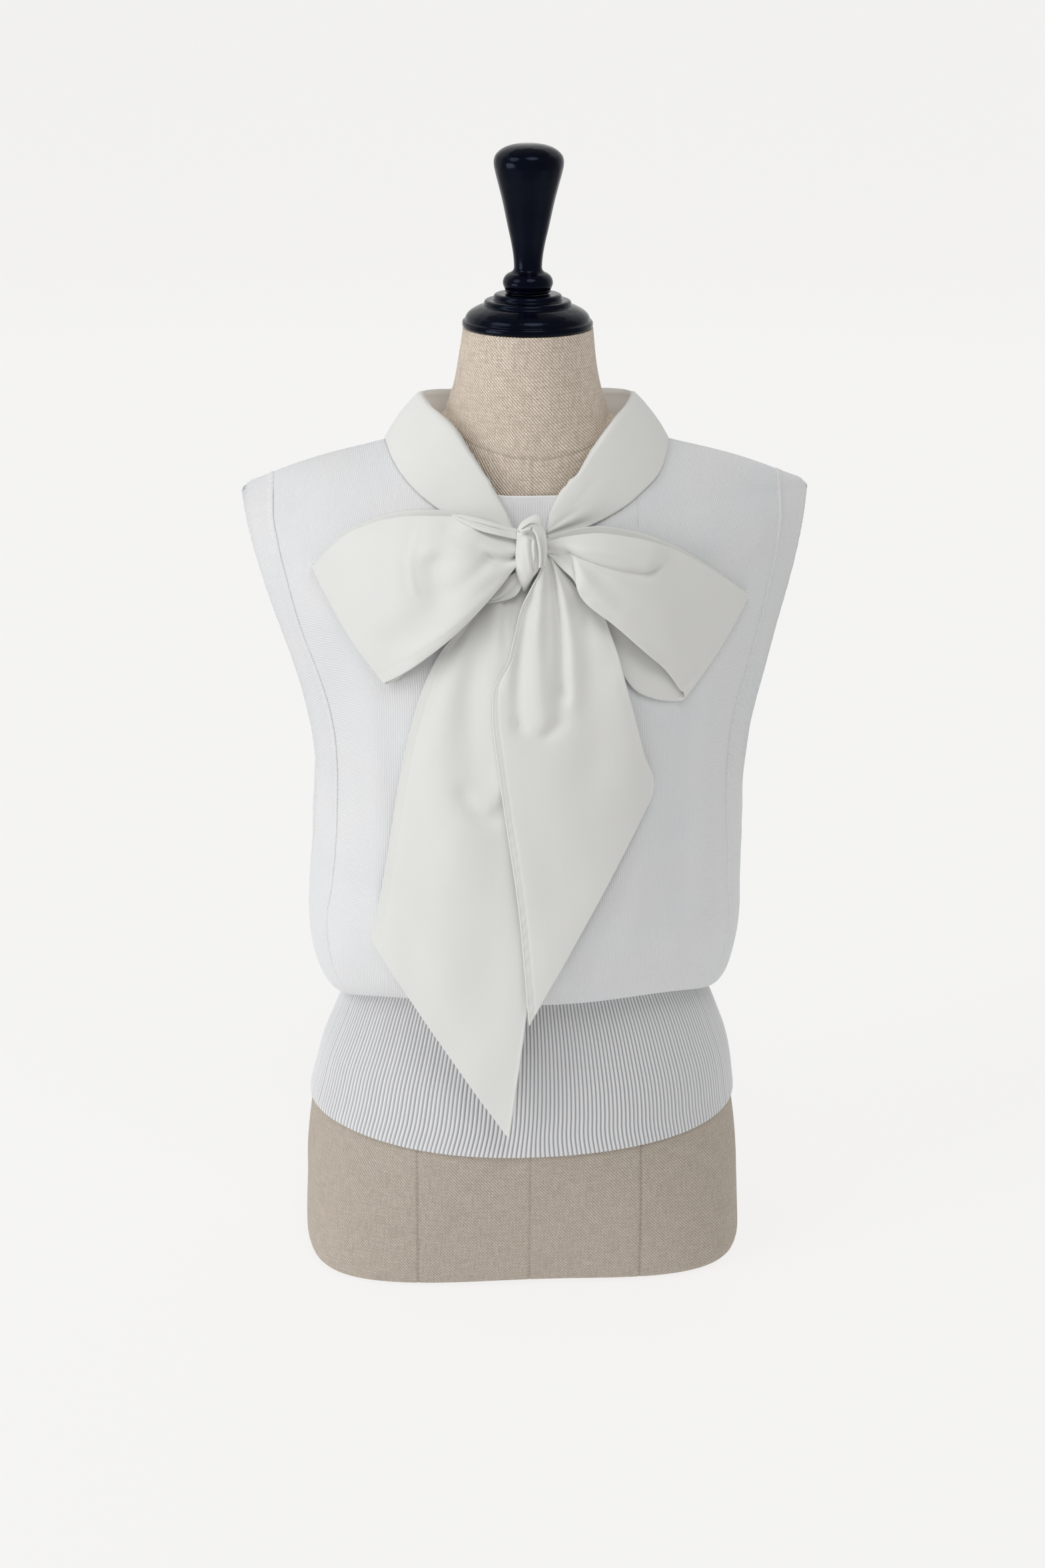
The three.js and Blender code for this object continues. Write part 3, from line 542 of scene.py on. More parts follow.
# ---------- materials ----------
class Nodes:
    """A material's node tree, with short calls for the nodes used here."""

    def __init__(self, name):
        self.material = bpy.data.materials.new(name)
        self.material.use_nodes = True
        self.tree = self.material.node_tree
        self.shader = self.tree.nodes["Principled BSDF"]
        place = self.tree.nodes.new("ShaderNodeAttribute")
        place.attribute_name = "weave"
        split = self.tree.nodes.new("ShaderNodeSeparateXYZ")
        self.link(place.outputs["Vector"], split.inputs[0])
        self.place = place.outputs["Vector"]
        self.u, self.v, self.w = split.outputs[0], split.outputs[1], split.outputs[2]

    def link(self, source, target):
        self.tree.links.new(source, target)

    def feed(self, value, target):
        if isinstance(value, (int, float)):
            target.default_value = value
        elif isinstance(value, tuple):
            target.default_value = (*value, 1)
        else:
            self.link(value, target)

    def math(self, kind, *values, clamp=False):
        node = self.tree.nodes.new("ShaderNodeMath")
        node.operation, node.use_clamp = kind, clamp
        for value, target in zip(values, node.inputs):
            self.feed(value, target)
        return node.outputs[0]

    def times(self, first, second):
        return self.math("MULTIPLY", first, second)

    def scaled(self, value, by, plus, clamp=False):
        return self.math("MULTIPLY_ADD", value, by, plus, clamp=clamp)

    def sine(self, place, period):
        """A wave from 0 to 1 along a place, with this period."""
        return self.scaled(self.math("SINE", self.times(place, 2 * math.pi / period)), 0.5, 0.5)

    def noise(self, scale, detail=2.0, stretch=(1, 1, 1), rough=0.5):
        mapping = self.tree.nodes.new("ShaderNodeVectorMath")
        mapping.operation = "MULTIPLY"
        self.link(self.place, mapping.inputs[0])
        mapping.inputs[1].default_value = stretch
        node = self.tree.nodes.new("ShaderNodeTexNoise")
        self.link(mapping.outputs[0], node.inputs["Vector"])
        for name, value in (("Scale", scale), ("Detail", detail), ("Roughness", rough)):
            node.inputs[name].default_value = value
        return node.outputs["Fac"]

    def mix(self, share, first, second, colours=True):
        """first where share is 0 and second where it is 1, for colours or for plain numbers."""
        node = self.tree.nodes.new("ShaderNodeMix")
        node.data_type = "RGBA" if colours else "FLOAT"
        start = 6 if colours else 2
        for value, k in ((share, 0), (first, start), (second, start + 1)):
            self.feed(value, node.inputs[k])
        return node.outputs[2 if colours else 0]

    def bump(self, height, depth_mm, strength=1.0, after=None):
        node = self.tree.nodes.new("ShaderNodeBump")
        node.inputs["Strength"].default_value = strength
        node.inputs["Distance"].default_value = depth_mm * 0.001
        self.link(height, node.inputs["Height"])
        if after is not None:
            self.link(after, node.inputs["Normal"])
        return node.outputs["Normal"]

    def finish(self, colour, normal, roughness, sheen=0.0, **sockets):
        self.feed(colour, self.shader.inputs["Base Color"])
        self.link(normal, self.shader.inputs["Normal"])
        self.feed(roughness, self.shader.inputs["Roughness"])
        self.shader.inputs["Sheen Weight"].default_value = sheen
        self.shader.inputs["Sheen Roughness"].default_value = 0.5
        for name, value in sockets.items():
            self.shader.inputs[name.replace("_", " ")].default_value = value
        return self.material


# Painted shade colour for the grooves of the knit.
KNIT_GROOVE_SHADE = (0.56, 0.57, 0.59)
# Painted shade colour for the grooves of the rib.
RIB_GROOVE_SHADE = (0.30, 0.31, 0.33)
WALE = 1.65
COURSE = 1.9


def knit_material():
    """Fine rib knit: wales down the middle, and courses across where the share says so. Painted shade darkens
    the colour in their grooves.
    """
    n = Nodes("knit")
    wobble = n.scaled(n.noise(0.06, 1.0), 1.2, -0.6)
    wale = n.sine(n.math("ADD", n.u, wobble), WALE)
    course = n.sine(n.math("ADD", n.v, wobble), COURSE)
    loops = n.times(n.scaled(n.sine(n.v, 1.1), 0.3, 0.7), wale)
    height = n.mix(n.w, loops, course, colours=False)
    normal = n.bump(height, 0.30, 0.75)
    normal = n.bump(n.noise(1.3, 3.0, rough=0.6), 0.22, 0.5, normal)
    patch = n.scaled(n.noise(0.016, 1.0), 3.0, -1.0, clamp=True)
    cool = n.mix(patch, (0.795, 0.813, 0.823), (0.825, 0.815, 0.82))
    # Painted shade: the colour is pulled towards a darker grey in the low parts of the wales and courses.
    shade = n.times(n.math("SUBTRACT", 1.0, height), 0.28)
    return n.finish(n.mix(shade, cool, KNIT_GROOVE_SHADE), normal, 0.92, 0.12)


def rib_material():
    """The waist rib and the neckband, whose ribs are in the mesh. The share is 1 in their grooves, where shade
    is painted.
    """
    n = Nodes("rib_knit")
    fuzz = n.noise(1.5, 3.0, rough=0.6)
    normal = n.bump(n.scaled(n.sine(n.v, 1.3), 0.1, fuzz), 0.06, 0.4)
    cool = n.mix(n.noise(0.02), (0.80, 0.805, 0.815), (0.81, 0.805, 0.81))
    # Painted shade: the colour darkens towards a deep grey where the share is 1, in the grooves between ribs.
    return n.finish(n.mix(n.times(n.w, 0.95), cool, RIB_GROOVE_SHADE), normal, 0.92, 0.1)


def woven_material():
    """Plain woven cotton with a fine thread and faint handling creases."""
    n = Nodes("woven")
    threads = n.math("MAXIMUM", n.sine(n.u, 0.55), n.sine(n.v, 0.6))
    slub = n.noise(0.9, 2.0, (1.0, 0.12, 1))
    normal = n.bump(n.noise(0.05, 3.0, (1, 0.6, 1), rough=0.45), 1.1, 0.35)
    normal = n.bump(n.scaled(slub, 0.6, threads), 0.05, 0.5, normal)
    return n.finish(n.mix(n.noise(0.03, 2.0), (0.765, 0.768, 0.747), (0.78, 0.775, 0.74)), normal, 0.8, 0.08)


def linen_material():
    """Natural linen in a twill, with dark and light threads and slubs both ways, painted shade in the twill's
    grooves and painted shade low on the form. The share is 1 on seams.
    """
    n = Nodes("linen")
    drift = n.scaled(n.noise(0.05, 2.0), 1.6, -0.8)
    twill = n.sine(n.math("ADD", n.scaled(n.v, 0.95, n.u), drift), 2.5)
    broken = n.sine(n.scaled(n.u, -0.9, n.v), 2.1)
    warp = n.noise(0.9, 2.0, (0.85, 0.08, 1), rough=0.75)
    weft = n.noise(0.9, 2.0, (0.08, 0.85, 1), rough=0.75)
    grain = n.noise(1.1, 2.0, rough=0.75)
    threads = n.math("ADD", warp, weft)
    height = n.math("ADD", n.times(twill, 0.9), n.times(grain, 0.9))
    normal = n.bump(n.math("ADD", height, n.times(threads, 0.4)), 0.5, 0.85)
    light = n.mix(n.scaled(threads, 3.2, -2.75, clamp=True), (1.0, 0.875, 0.745), (0.74, 0.63, 0.52))
    speck = n.scaled(grain, 6.0, -3.3, clamp=True)
    base = n.mix(n.times(speck, 0.7), light, (0.36, 0.285, 0.225))
    notch = n.scaled(broken, 0.45, 0.55)
    # Painted shade: the twill's grooves are darkened towards a deep brown.
    groove = n.times(n.times(n.math("SUBTRACT", 1.0, twill), notch), 0.85)
    colour = n.mix(groove, base, (0.33, 0.265, 0.21))
    # Painted shade: the colour is mixed towards a darker brown below about 340 mm, most below 240 mm, which
    # shows on the base under the knit.
    low = n.scaled(n.v, -0.01, 3.4, clamp=True)
    colour = n.mix(n.times(low, 0.52), colour, (0.33, 0.292, 0.25))
    stitch = n.scaled(n.sine(n.v, 4.2), 0.35, 0.3)
    colour = n.mix(n.times(n.w, stitch), colour, (0.20, 0.16, 0.13))
    return n.finish(colour, normal, 0.9, 0.05)


def lacquer_material():
    """Near-black gloss over turned wood, a little uneven from the brush."""
    n = Nodes("lacquer")
    normal = n.bump(n.noise(0.055, 3.0, (1, 1, 0.4), rough=0.55), 1.6, 0.4)
    normal = n.bump(n.noise(0.6, 2.0, (0.15, 0.15, 1)), 0.05, 0.3, normal)
    colour = n.mix(n.noise(0.04), (0.0008, 0.0013, 0.0042), (0.0016, 0.0024, 0.0068))
    n.shader.inputs["Specular Tint"].default_value = (0.50, 0.64, 1.0, 1)
    rough = n.scaled(n.noise(0.12, 3.0), 0.14, 0.10)
    return n.finish(colour, normal, rough, Specular_IOR_Level=0.13, Coat_Weight=0.012, Coat_Roughness=0.05)


MATERIALS = {
    "knit": knit_material(),
    "rib": rib_material(),
    "woven": woven_material(),
    "linen": linen_material(),
    "lacquer": lacquer_material(),
}


# ---------- the dress form ----------
PRINCESS_X = 87.0
GROOVE_WIDTH = 1.1
GROOVE_DEPTH = 0.75
NECK_SEAM = 648.5
BASE_RISE = 2.0


def quarter_shares(count, marks, step):
    """Even shares of a quarter turn, with close ones added on both sides of some marks."""
    close = [mark + step * k for mark in marks for k in (-2, -1, 0, 1, 2)]
    shares = np.concatenate([np.linspace(0, 1, count), close])
    return np.unique(np.round(shares[(shares >= 0) & (shares <= 1)], 5))


def form_quarter(side, z, shares, mark=0.5):
    """Points of a quarter ring of the form from the centre to the side, at shares of its length. The mark is
    the share of the princess seam, which runs straight up the hips."""
    angle = np.linspace(0, 90, 241)
    power, widest = FORM("power", z), FORM("halfWidth", z)
    shoulder = (TIP_Z - z - FORM_DROP) / SHOULDER_SLOPE + TIP_X
    neck = NECK("radius", z) if z > 620 else 0.0
    reach = max(min(float(widest), shoulder), float(neck))
    x = reach * np.sin(np.radians(angle)) ** (2 / power)
    x[-1] = reach
    share = np.minimum(x / widest, 1)
    plain_ridge = TIP_Z + (TIP_X - x) * SHOULDER_SLOPE
    body = shoulder_round(plain_ridge - FORM_DROP - z) * FORM(side, z)
    body = body * np.maximum(1 - share**power, 0) ** (1 / power)
    column = np.sqrt(np.maximum(neck**2 - x**2, 0))
    depth = np.maximum(body, column)
    length = np.concatenate([[0], np.cumsum(np.hypot(np.diff(x), np.diff(depth)))])
    straight = float(np.interp(PRINCESS_X, x, length) / length[-1])
    place = mark + (straight - mark) * (1 - smooth(z, 130, 230))
    at = np.interp(shares, [0, mark, 1], [0, place, 1]) * length[-1]
    return np.interp(at, length, x), np.interp(at, length, depth), at


def form_torso():
    base_x, _, base_at = form_quarter("front", 60.0, np.linspace(0, 1, 400))
    princess = float(np.interp(PRINCESS_X, base_x, base_at) / base_at[-1])
    length = base_at[-1]
    shares = quarter_shares(92, [0.0, princess, 1.0], 0.9 / length)
    heights = np.concatenate([
        [0, 0.4, 1.5, 3, 5, 8, 11, 14], np.linspace(17, 130, 54), np.linspace(138, 560, 50),
        np.linspace(568, NECK_SEAM - 3, 30), NECK_SEAM + np.arange(-2, 2.5, 0.8),
        np.linspace(NECK_SEAM + 4, 732, 44),
    ])
    rings, places = [], []
    for z in heights:
        front_x, front_y, front_at = form_quarter("front", z, shares, princess)
        back_x, back_y, back_at = form_quarter("back", z, shares, princess)
        whole = front_at[-1] + back_at[-1]
        x = np.concatenate([front_x, back_x[::-1][1:], -back_x[1:], -front_x[::-1][1:-1]])
        y = np.concatenate([-front_y, back_y[::-1][1:], back_y[1:], -front_y[::-1][1:-1]])
        u = np.concatenate([
            front_at, (whole - back_at[::-1])[1:], -(whole - back_at)[1:], -front_at[::-1][1:-1],
        ])
        rings.append(stack(x, y, z))
        places.append(stack(u, z, 0.0))
    grid, weave = np.array(rings), np.array(places)
    # Seams: down the front and back, the princess seams, the sides and round the neck.
    columns = np.concatenate([shares, 2 - shares[::-1][1:], 2 + shares[1:], 4 - shares[::-1][1:-1]])
    groove = np.zeros(grid.shape[:2])
    for mark in (0, princess, 1, 2 - princess, 2, 2 + princess, 3, 4 - princess, 4):
        deep = 0.35 if mark in (0, 2, 4) else 0.5
        groove += deep * bell(columns * length, mark * length, GROOVE_WIDTH)[None]
    x, y, z = grid[..., 0], grid[..., 1], grid[..., 2]
    dip = np.where(y < 0, 0.0035 * np.minimum((x - 5) ** 2, 3600), 9.0) * (1 - smooth(np.hypot(x, y), 64, 70))
    z += dip * smooth(z, NECK_SEAM - 20, NECK_SEAM) * (1 - smooth(z, NECK_SEAM, NECK_SEAM + 60))
    ring = bell(z - dip, NECK_SEAM, GROOVE_WIDTH)
    groove *= 1 - smooth(z - dip, NECK_SEAM - 1, NECK_SEAM + 1)
    groove = np.maximum(groove, 0.6 * ring)
    weave[..., 2] = np.minimum(groove * 1.4, 1) * np.where(ring > 0.2, 0.5, 1)
    z += BASE_RISE * bell(x, 15, 70) * (y < 0) * (1 - smooth(z, 0, 40))
    puff = 0.35 * waves(weave[..., 0], weave[..., 1], 60, 5) * smooth(z, 4, 20)
    grid = grid + outward(grid, grid * [1, 1, 0]) * (puff - GROOVE_DEPTH * groove)[..., None]
    shape = Shape(leans=True)
    low = [grid[0] * [s, s, 1] for s in (0.0, 0.5, 0.96)]
    high = [grid[-1] * [s, s, 1] for s in (0.9, 0.0)]
    places = np.concatenate([weave[:1]] * 3 + [weave] + [weave[-1:]] * 2)
    shape.skin(np.concatenate([low, grid, high]), places)
    shape.build("form_torso_linen", "linen", weld=0.004)


TURNED_COLUMNS = 96
TURNED_ROWS = 220


def turned(name, profile):
    """A turned piece from a profile of radius and height."""
    line = curve([(r, 0, z) for r, z in profile], np.linspace(0, 1, TURNED_ROWS))
    radius = np.maximum(line[:, :1], 0)
    radius[0] = radius[-1] = 0
    turn = np.linspace(0, 2 * math.pi, TURNED_COLUMNS, endpoint=False)
    grid = stack(radius * np.sin(turn), -radius * np.cos(turn), line[:, 2:])
    shape = Shape()
    shape.skin(grid, grid)
    shape.build(name, "lacquer", weld=0.004)


CAP = [
    (0, 732.3), (20, 732.3), (44, 732.3), (46.4, 732.5), (47.4, 733.4), (47.6, 735), (47.3, 736.6),
    (46.6, 737.4), (45.9, 737.5), (45.5, 737.9), (45.3, 739), (44.2, 741.4), (41.6, 743.9), (38, 746),
    (34, 747.7), (32.4, 748.2), (31.9, 748.8), (31.6, 750.4), (30.9, 751.5), (29.6, 752),
    (27, 752.1), (25.6, 752.3), (25.1, 752.9), (24.8, 754.6), (24.1, 755.8), (22.8, 756.4),
    (20, 756.6), (10, 756.7), (0, 756.7),
]
FINIAL = [
    (0, 757.3), (10, 757.3), (15.6, 757.4), (16.6, 758.2), (16.6, 759.4), (17.1, 760.6), (18, 762.8),
    (18.2, 764.6), (17.8, 766.6), (16.6, 768.8), (14.6, 770.6), (12.2, 771.8), (10.9, 772.9),
    (10.2, 774.6), (10.2, 777), (10.7, 783), (12.2, 792), (14.2, 801), (16.4, 811), (18.7, 821.5), (21.4, 832),
    (24, 842), (25, 847),
    (25, 850.5), (24, 853.6), (21.6, 856.4), (17.6, 859), (12, 860.9), (6, 861.8), (0, 862),
]


# ---------- the knit body ----------
PANEL_COLUMNS = 190
PANEL_ROWS = 176


def wale_place(grid):
    """Wales run straight down and lean a little towards the neck over the shoulders."""
    return grid[..., 0] * (1 + 0.0020 * np.maximum(grid[..., 2] - 545, 0))


FRONT_FOLDS = [
    # x0, z0, x1, z1, x2, z2, wide0, wide1, high0, high1
    (-128, 510, -122, 440, -112, 372, 8, 14, 0.6, 2.4),
    (-136, 420, -126, 360, -120, 292, 8, 14, 0.6, 1.8),
    (-104, 470, -100, 400, -96, 330, 11, 15, -0.4, -2.2),
    (-118, 330, -112, 300, -104, 262, 7, 12, 0.3, 1.5),
    (-92, 300, -86, 275, -82, 250, 8, 12, 0.0, -1.4),
    (128, 510, 122, 440, 118, 380, 9, 15, 0.6, 2.0),
    (136, 400, 130, 350, 120, 290, 8, 15, 0.6, 1.6),
    (112, 470, 108, 400, 108, 330, 10, 15, -0.6, -2.2),
    (96, 330, 104, 300, 112, 262, 8, 12, 0.3, 1.3),
    (150, 330, 140, 300, 128, 262, 6, 10, 0.2, 1.2),
    (60, 300, 52, 275, 46, 250, 9, 14, 0.0, 1.4),
    (84, 440, 76, 380, 70, 310, 9, 14, 0.3, 1.4),
    (-150, 400, -138, 360, -128, 330, 6, 10, -0.8, -1.2),
    (-168, 580, -150, 560, -120, 548, 7, 12, 0.9, 0.0),
    (172, 584, 150, 562, 118, 552, 7, 12, 0.8, 0.0),
    (-170, 560, -160, 520, -150, 480, 6, 9, 0.7, 0.1),
    (172, 556, 162, 520, 150, 484, 6, 9, 0.7, 0.1),
]
BACK_FOLDS = [
    (-136, 520, -116, 460, -90, 372, 9, 17, 1.0, 3.0),
    (-112, 500, -92, 430, -72, 350, 8, 14, -0.8, -2.4),
    (-56, 440, -50, 380, -56, 290, 12, 17, -0.4, -2.4),
    (-20, 430, -14, 350, -18, 262, 11, 15, 0.3, 2.4),
    (22, 470, 18, 390, 30, 290, 12, 18, -0.3, -2.3),
    (66, 500, 60, 410, 72, 290, 11, 17, 0.6, 2.8),
    (138, 510, 118, 440, 104, 330, 9, 15, 0.9, 2.6),
    (104, 480, 92, 420, 88, 340, 8, 13, -0.6, -2.0),
    (-122, 340, -110, 300, -98, 256, 8, 13, 0.4, 2.2),
    (-78, 330, -76, 300, -70, 256, 8, 12, -0.4, -1.8),
    (108, 330, 118, 296, 112, 254, 8, 12, -0.3, -2.1),
    (44, 330, 40, 290, 34, 256, 9, 13, 0.3, 2.0),
    (-84, 606, -30, 586, 34, 600, 9, 9, 1.2, 0.3),
    (96, 600, 40, 574, -10, 578, 9, 11, 0.9, 0.2),
    (-172, 582, -146, 556, -118, 540, 7, 12, 1.1, 0.2),
    (172, 580, 150, 552, 120, 530, 7, 12, 1.0, 0.2),
]


def body_panel(name, side, folds, seed):
    edge = math.sin(math.radians(SEAM_ANGLE - SEAM_HALF))
    angles = np.degrees(np.arcsin(np.linspace(-edge, edge, PANEL_COLUMNS)))
    grid = knit_grid(side, angles, PANEL_ROWS)
    x, z = grid[..., 0], grid[..., 2]
    low = roll_bottom(side, np.abs(angles))[None]
    free = smooth(ridge(x) - z, 4, 50) * smooth(z, low - 2, low + 30)
    free = free * (1 - smooth(np.abs(x) / SEAM("x", z), 0.9, 1.0))
    dents = creases(x, z, folds) + 0.9 * waves(x, z, 110, seed) + 0.34 * waves(x, z * 0.6, 42, seed + 1)
    out = np.array([0, TOWARDS[side], 0])
    grid = grid + facing(grid, out) * (dents * free)[..., None]
    share = 0.9 * smooth(np.abs(x), 108, 132) * smooth(z, 250, 300) * (1 - smooth(z, 520, 575))
    shape = Shape(leans=True)
    shape.wall(grid, KNIT_WALL, stack(wale_place(grid), grid[..., 2], share), out, edge=0.3, step=3)
    return shape.build(name, "knit")


BAND_SHARES = [
    0, 0.006, 0.012, 0.02, 0.03, 0.042, 0.056, 0.075, 0.1, 0.14, 0.19, 0.26, 0.35, 0.45, 0.56, 0.68, 0.8, 0.9,
    0.96, 0.99, 1,
]
BAND_ROWS = 450
WELT_HEIGHT = 1.25
WELT_AT = 0.9
WELT_WIDTH = 1.15


def armband(name, sign):
    """A strip round the armhole: up the front, over the shoulder tip and down the back. The welt beside its
    seam fades towards the waist, on the right one altogether."""
    low = math.sin(math.radians(SEAM_ANGLE + SEAM_HALF))
    share = np.array(BAND_SHARES)
    angles = np.degrees(np.arcsin(low + (1 - low) * share)) * sign
    front, back = (knit_grid(side, angles, BAND_ROWS) for side in ("front", "back"))
    top = (front[0] + back[0]) / 2 * [1, 0, 1]
    grid = np.concatenate([front[1:][::-1], top[None], back[1:]])
    middle = len(grid) // 2
    normal = normals_of(grid)
    if normal[middle, :, 2].mean() < 0:
        normal = -normal
    along = arc(grid, 0)
    x, z = np.abs(grid[..., 0]), grid[..., 2]
    steps = np.linalg.norm(np.diff(grid, axis=1), axis=-1)
    wide = np.concatenate([np.zeros((len(grid), 1)), np.cumsum(steps, 1)], 1)
    from_edge = wide[:, -1:] - wide
    under_ridge = ridge(x) - z
    courses = np.sin(2 * math.pi * along / COURSE)
    upper = smooth(z, 300, 430)
    raised = upper if sign > 0 else 0.35 + 0.65 * upper
    lapped = smooth(z, 232, 250) if sign > 0 else smooth(z, 330, 450)
    welt = WELT_HEIGHT * bell(wide, WELT_AT, WELT_WIDTH) * raised + 0.3 * bell(wide, 0, 0.5) * lapped
    welt = welt * (0.45 + 0.55 * smooth(under_ridge, 3, 18))
    hollow = -0.5 * bell(wide, 4.2, 2.2) * smooth(under_ridge, 4, 24)
    soft = 0.5 * waves(along, x, 90, 31 + int(sign)) * share * (1.4 - share)
    rolled = 0.7 * bell(from_edge, 1.8, 1.6) * smooth(z, 300, 360)
    lift = (welt + hollow + soft) * smooth(z, 225, 262) + 0.16 * courses * smooth(z, 380, 420) + rolled
    grid = grid + normal * lift[..., None]
    curl = 6.0 * bell(from_edge, 0, 4.6) * smooth(z, 322, 348) * (1 - smooth(z, 440, 500))
    grid[middle + 1:, :, 0] -= sign * curl[middle + 1:]
    grid = grid + unit(grid[:, :1] - grid[:, 5:6]) * (1.5 * lapped * bell(wide, 0, 1.3))[..., None]
    grid[..., 0] += sign * 0.18 * courses * (share > 0.98) * smooth(z, 430, 470)
    weave = stack(wide, along, 0.25 + 0.55 * smooth(z, 300, 400))
    shape = Shape(leans=True)
    shape.wall(grid, KNIT_WALL, weave, normal, edge=0.35, step=3)
    return shape.build(name, "knit")


NECKBAND_COLUMNS = 460
NECKBAND_RIB = 1.75
RIBS = 265
RIB_STEPS = 6
RIB_DEPTH = 1.15
RIB_ROWS = 30


def waist_ring(angles, z, proud):
    """Points round the hips at angles from the front centre, this far outside the form."""
    sine, cosine = np.sin(np.radians(angles)), np.cos(np.radians(angles))
    depth = np.where(cosine >= 0, FORM("front", z), FORM("back", z))
    x, y = hip_point(depth, angles, z, proud)
    return stack(np.sign(sine) * x, -np.sign(cosine) * y, z)


def waist_rib():
    """The rib-knit tube on the hips, with each rib in the mesh."""
    dense = np.linspace(0, 360, 14401)
    hem = waist_ring(dense, HEM + 10.0, RIB_CLEARANCE)
    length = np.concatenate([[0], np.cumsum(np.linalg.norm(np.diff(hem, axis=0), axis=1))])
    around = np.arange(RIBS * RIB_STEPS) / RIB_STEPS
    angles = np.interp(around / RIBS * length[-1], length, dense)
    sine = np.sin(np.radians(angles))
    folded = np.degrees(np.arcsin(np.abs(sine)))
    front = np.cos(np.radians(angles)) >= 0
    top = np.where(front, roll_bottom("front", folded), roll_bottom("back", folded)) + RIB_OVERLAP
    height = 1 - np.abs(2 * (around % 1.0) - 1) ** 2.1
    rng = np.random.default_rng(12)
    uneven = 1 + 0.16 * rng.uniform(-1, 1, RIBS)[np.floor(around).astype(int)]
    hem_line = HEM + 6.0 * np.abs(sine) ** 1.8 + np.clip(-sine, 0, 1)
    hem_line = hem_line + 0.4 * np.sin(np.radians(angles) * 5)
    outer, inner, place = [], [], []
    for share in np.concatenate([[0, 0.006, 0.02], np.linspace(0.05, 1, RIB_ROWS)]):
        z = hem_line + (top - hem_line) * share
        swell = RIB_DEPTH * height * uneven * (0.55 + 0.45 * smooth(share, 0, 0.03))
        base = waist_ring(angles, z, RIB_CLEARANCE + KNIT_WALL - 0.9)
        out = unit(waist_ring(angles, z, RIB_CLEARANCE + KNIT_WALL) - base)
        outer.append(base + out * (swell + 0.2)[:, None])
        inner.append(waist_ring(angles, z, RIB_CLEARANCE))
        # The third weave value is 1 in the grooves between ribs, where the rib material paints shade.
        place.append(stack(around * 3.4, z, 1 - height))
    outer, inner, place = np.array(outer), np.array(inner), np.array(place)
    shape = Shape(leans=True)
    shape.wall(outer, KNIT_WALL, place, unit(outer * [1, 1, 0]), closed=True, inner=inner, edge=0.3, step=3)
    return shape.build("waist_rib_cloth", "rib")


def neckband():
    """The rib-knit band inside the front neckline, with a thin rolled edge."""
    reach = NECKLINE["band"][2]
    x = np.linspace(-reach, reach, NECKBAND_COLUMNS)
    top = neck_height("band", x)
    low = np.minimum(neck_height("front", x) + SEAM_GAP, top - 0.5)
    rows = np.concatenate([[0, 0.03, 0.07, 0.12], np.linspace(0.17, 1, 14)])[:, None]
    z = top + (low - top) * rows
    grid = over_knit("front", x + 0 * z, z, 0.0)
    height = (1 - np.abs(2 * ((x / NECKBAND_RIB) % 1.0) - 1) ** 2.5)[None]
    ribbed = smooth(rows, 0.08, 0.2)
    rolled = 0.75 * bell(rows, 0.05, 0.045)
    front = np.array([0, -1, 0])
    grid = grid + facing(grid, front) * (0.25 * height * ribbed + rolled - 0.3)[..., None]
    shape = Shape()
    # The third weave value marks the grooves between ribs, where the rib material paints shade.
    shape.wall(grid, KNIT_WALL - 0.4, stack(x + 0 * z, z, 0.3 * (1 - height) * ribbed), front)
    return shape.build("neckband_cloth", "rib")


# ---------- the collar ----------
COLLAR = [
    # side, fold x y z, seam x z lift, edge x z lift, shift
    ("front", 11.8, -92, 603, 13, 599, 2, 13.5, 594.5, 6.5, 3.3),
    ("front", 15.5, -85, 614.5, 20, 610, 1.6, 32, 600, 3, 4.5),
    ("front", 22, -77, 626.5, 26, 622, 1.4, 51, 607, 1.5, 4.5),
    ("front", 33, -68, 641.5, 36, 627, 1.4, 66, 615, 1.4, 2.2),
    ("front", 44, -58, 655, 47, 635.5, 1.4, 79, 623, 1.4, 1.5),
    ("front", 55.5, -45, 668, 57, 646.5, 1.4, 91, 632, 1.4, 0),
    ("front", 67.5, -25, 677, 65.5, 656.5, 1.6, 99, 642, 1.4, 0),
    ("front", 74.5, -13, 681.5, 69, 659.3, 1.8, 102, 647, 1.4, 0),
    ("front", 78, 0, 684.5, 70.5, 659.4, 1.8, 103, 648.6, 1.4, 0),
    ("back", 76.5, 14, 683.5, 70, 659.2, 1.8, 102.5, 646.8, 1.4, 0),
    ("back", 71, 30, 681, 67, 658, 0.6, 98, 640.5, 1.2, 0),
    ("back", 63.5, 42, 679.5, 60, 656.2, -0.6, 90, 634.5, 1.4, 0),
    ("back", 54, 52, 678, 51, 655, -1, 78, 631.5, 1.4, 0),
    ("back", 41, 60.5, 676.5, 39, 653.9, -1, 60, 632, 1.4, 0),
    ("back", 28, 67, 675.5, 27, 653, -1, 41, 633.2, 1.4, 0),
    ("back", 14, 70.5, 674.8, 13.5, 652.7, -1, 21, 634.6, 1.4, 0),
    ("back", 0, 71.5, 674.5, 0, 652.6, -1, 0, 635.5, 1.4, 0),
]
FOLD_WIDTH = 2.6
COLLAR_RIGHT = 2.4


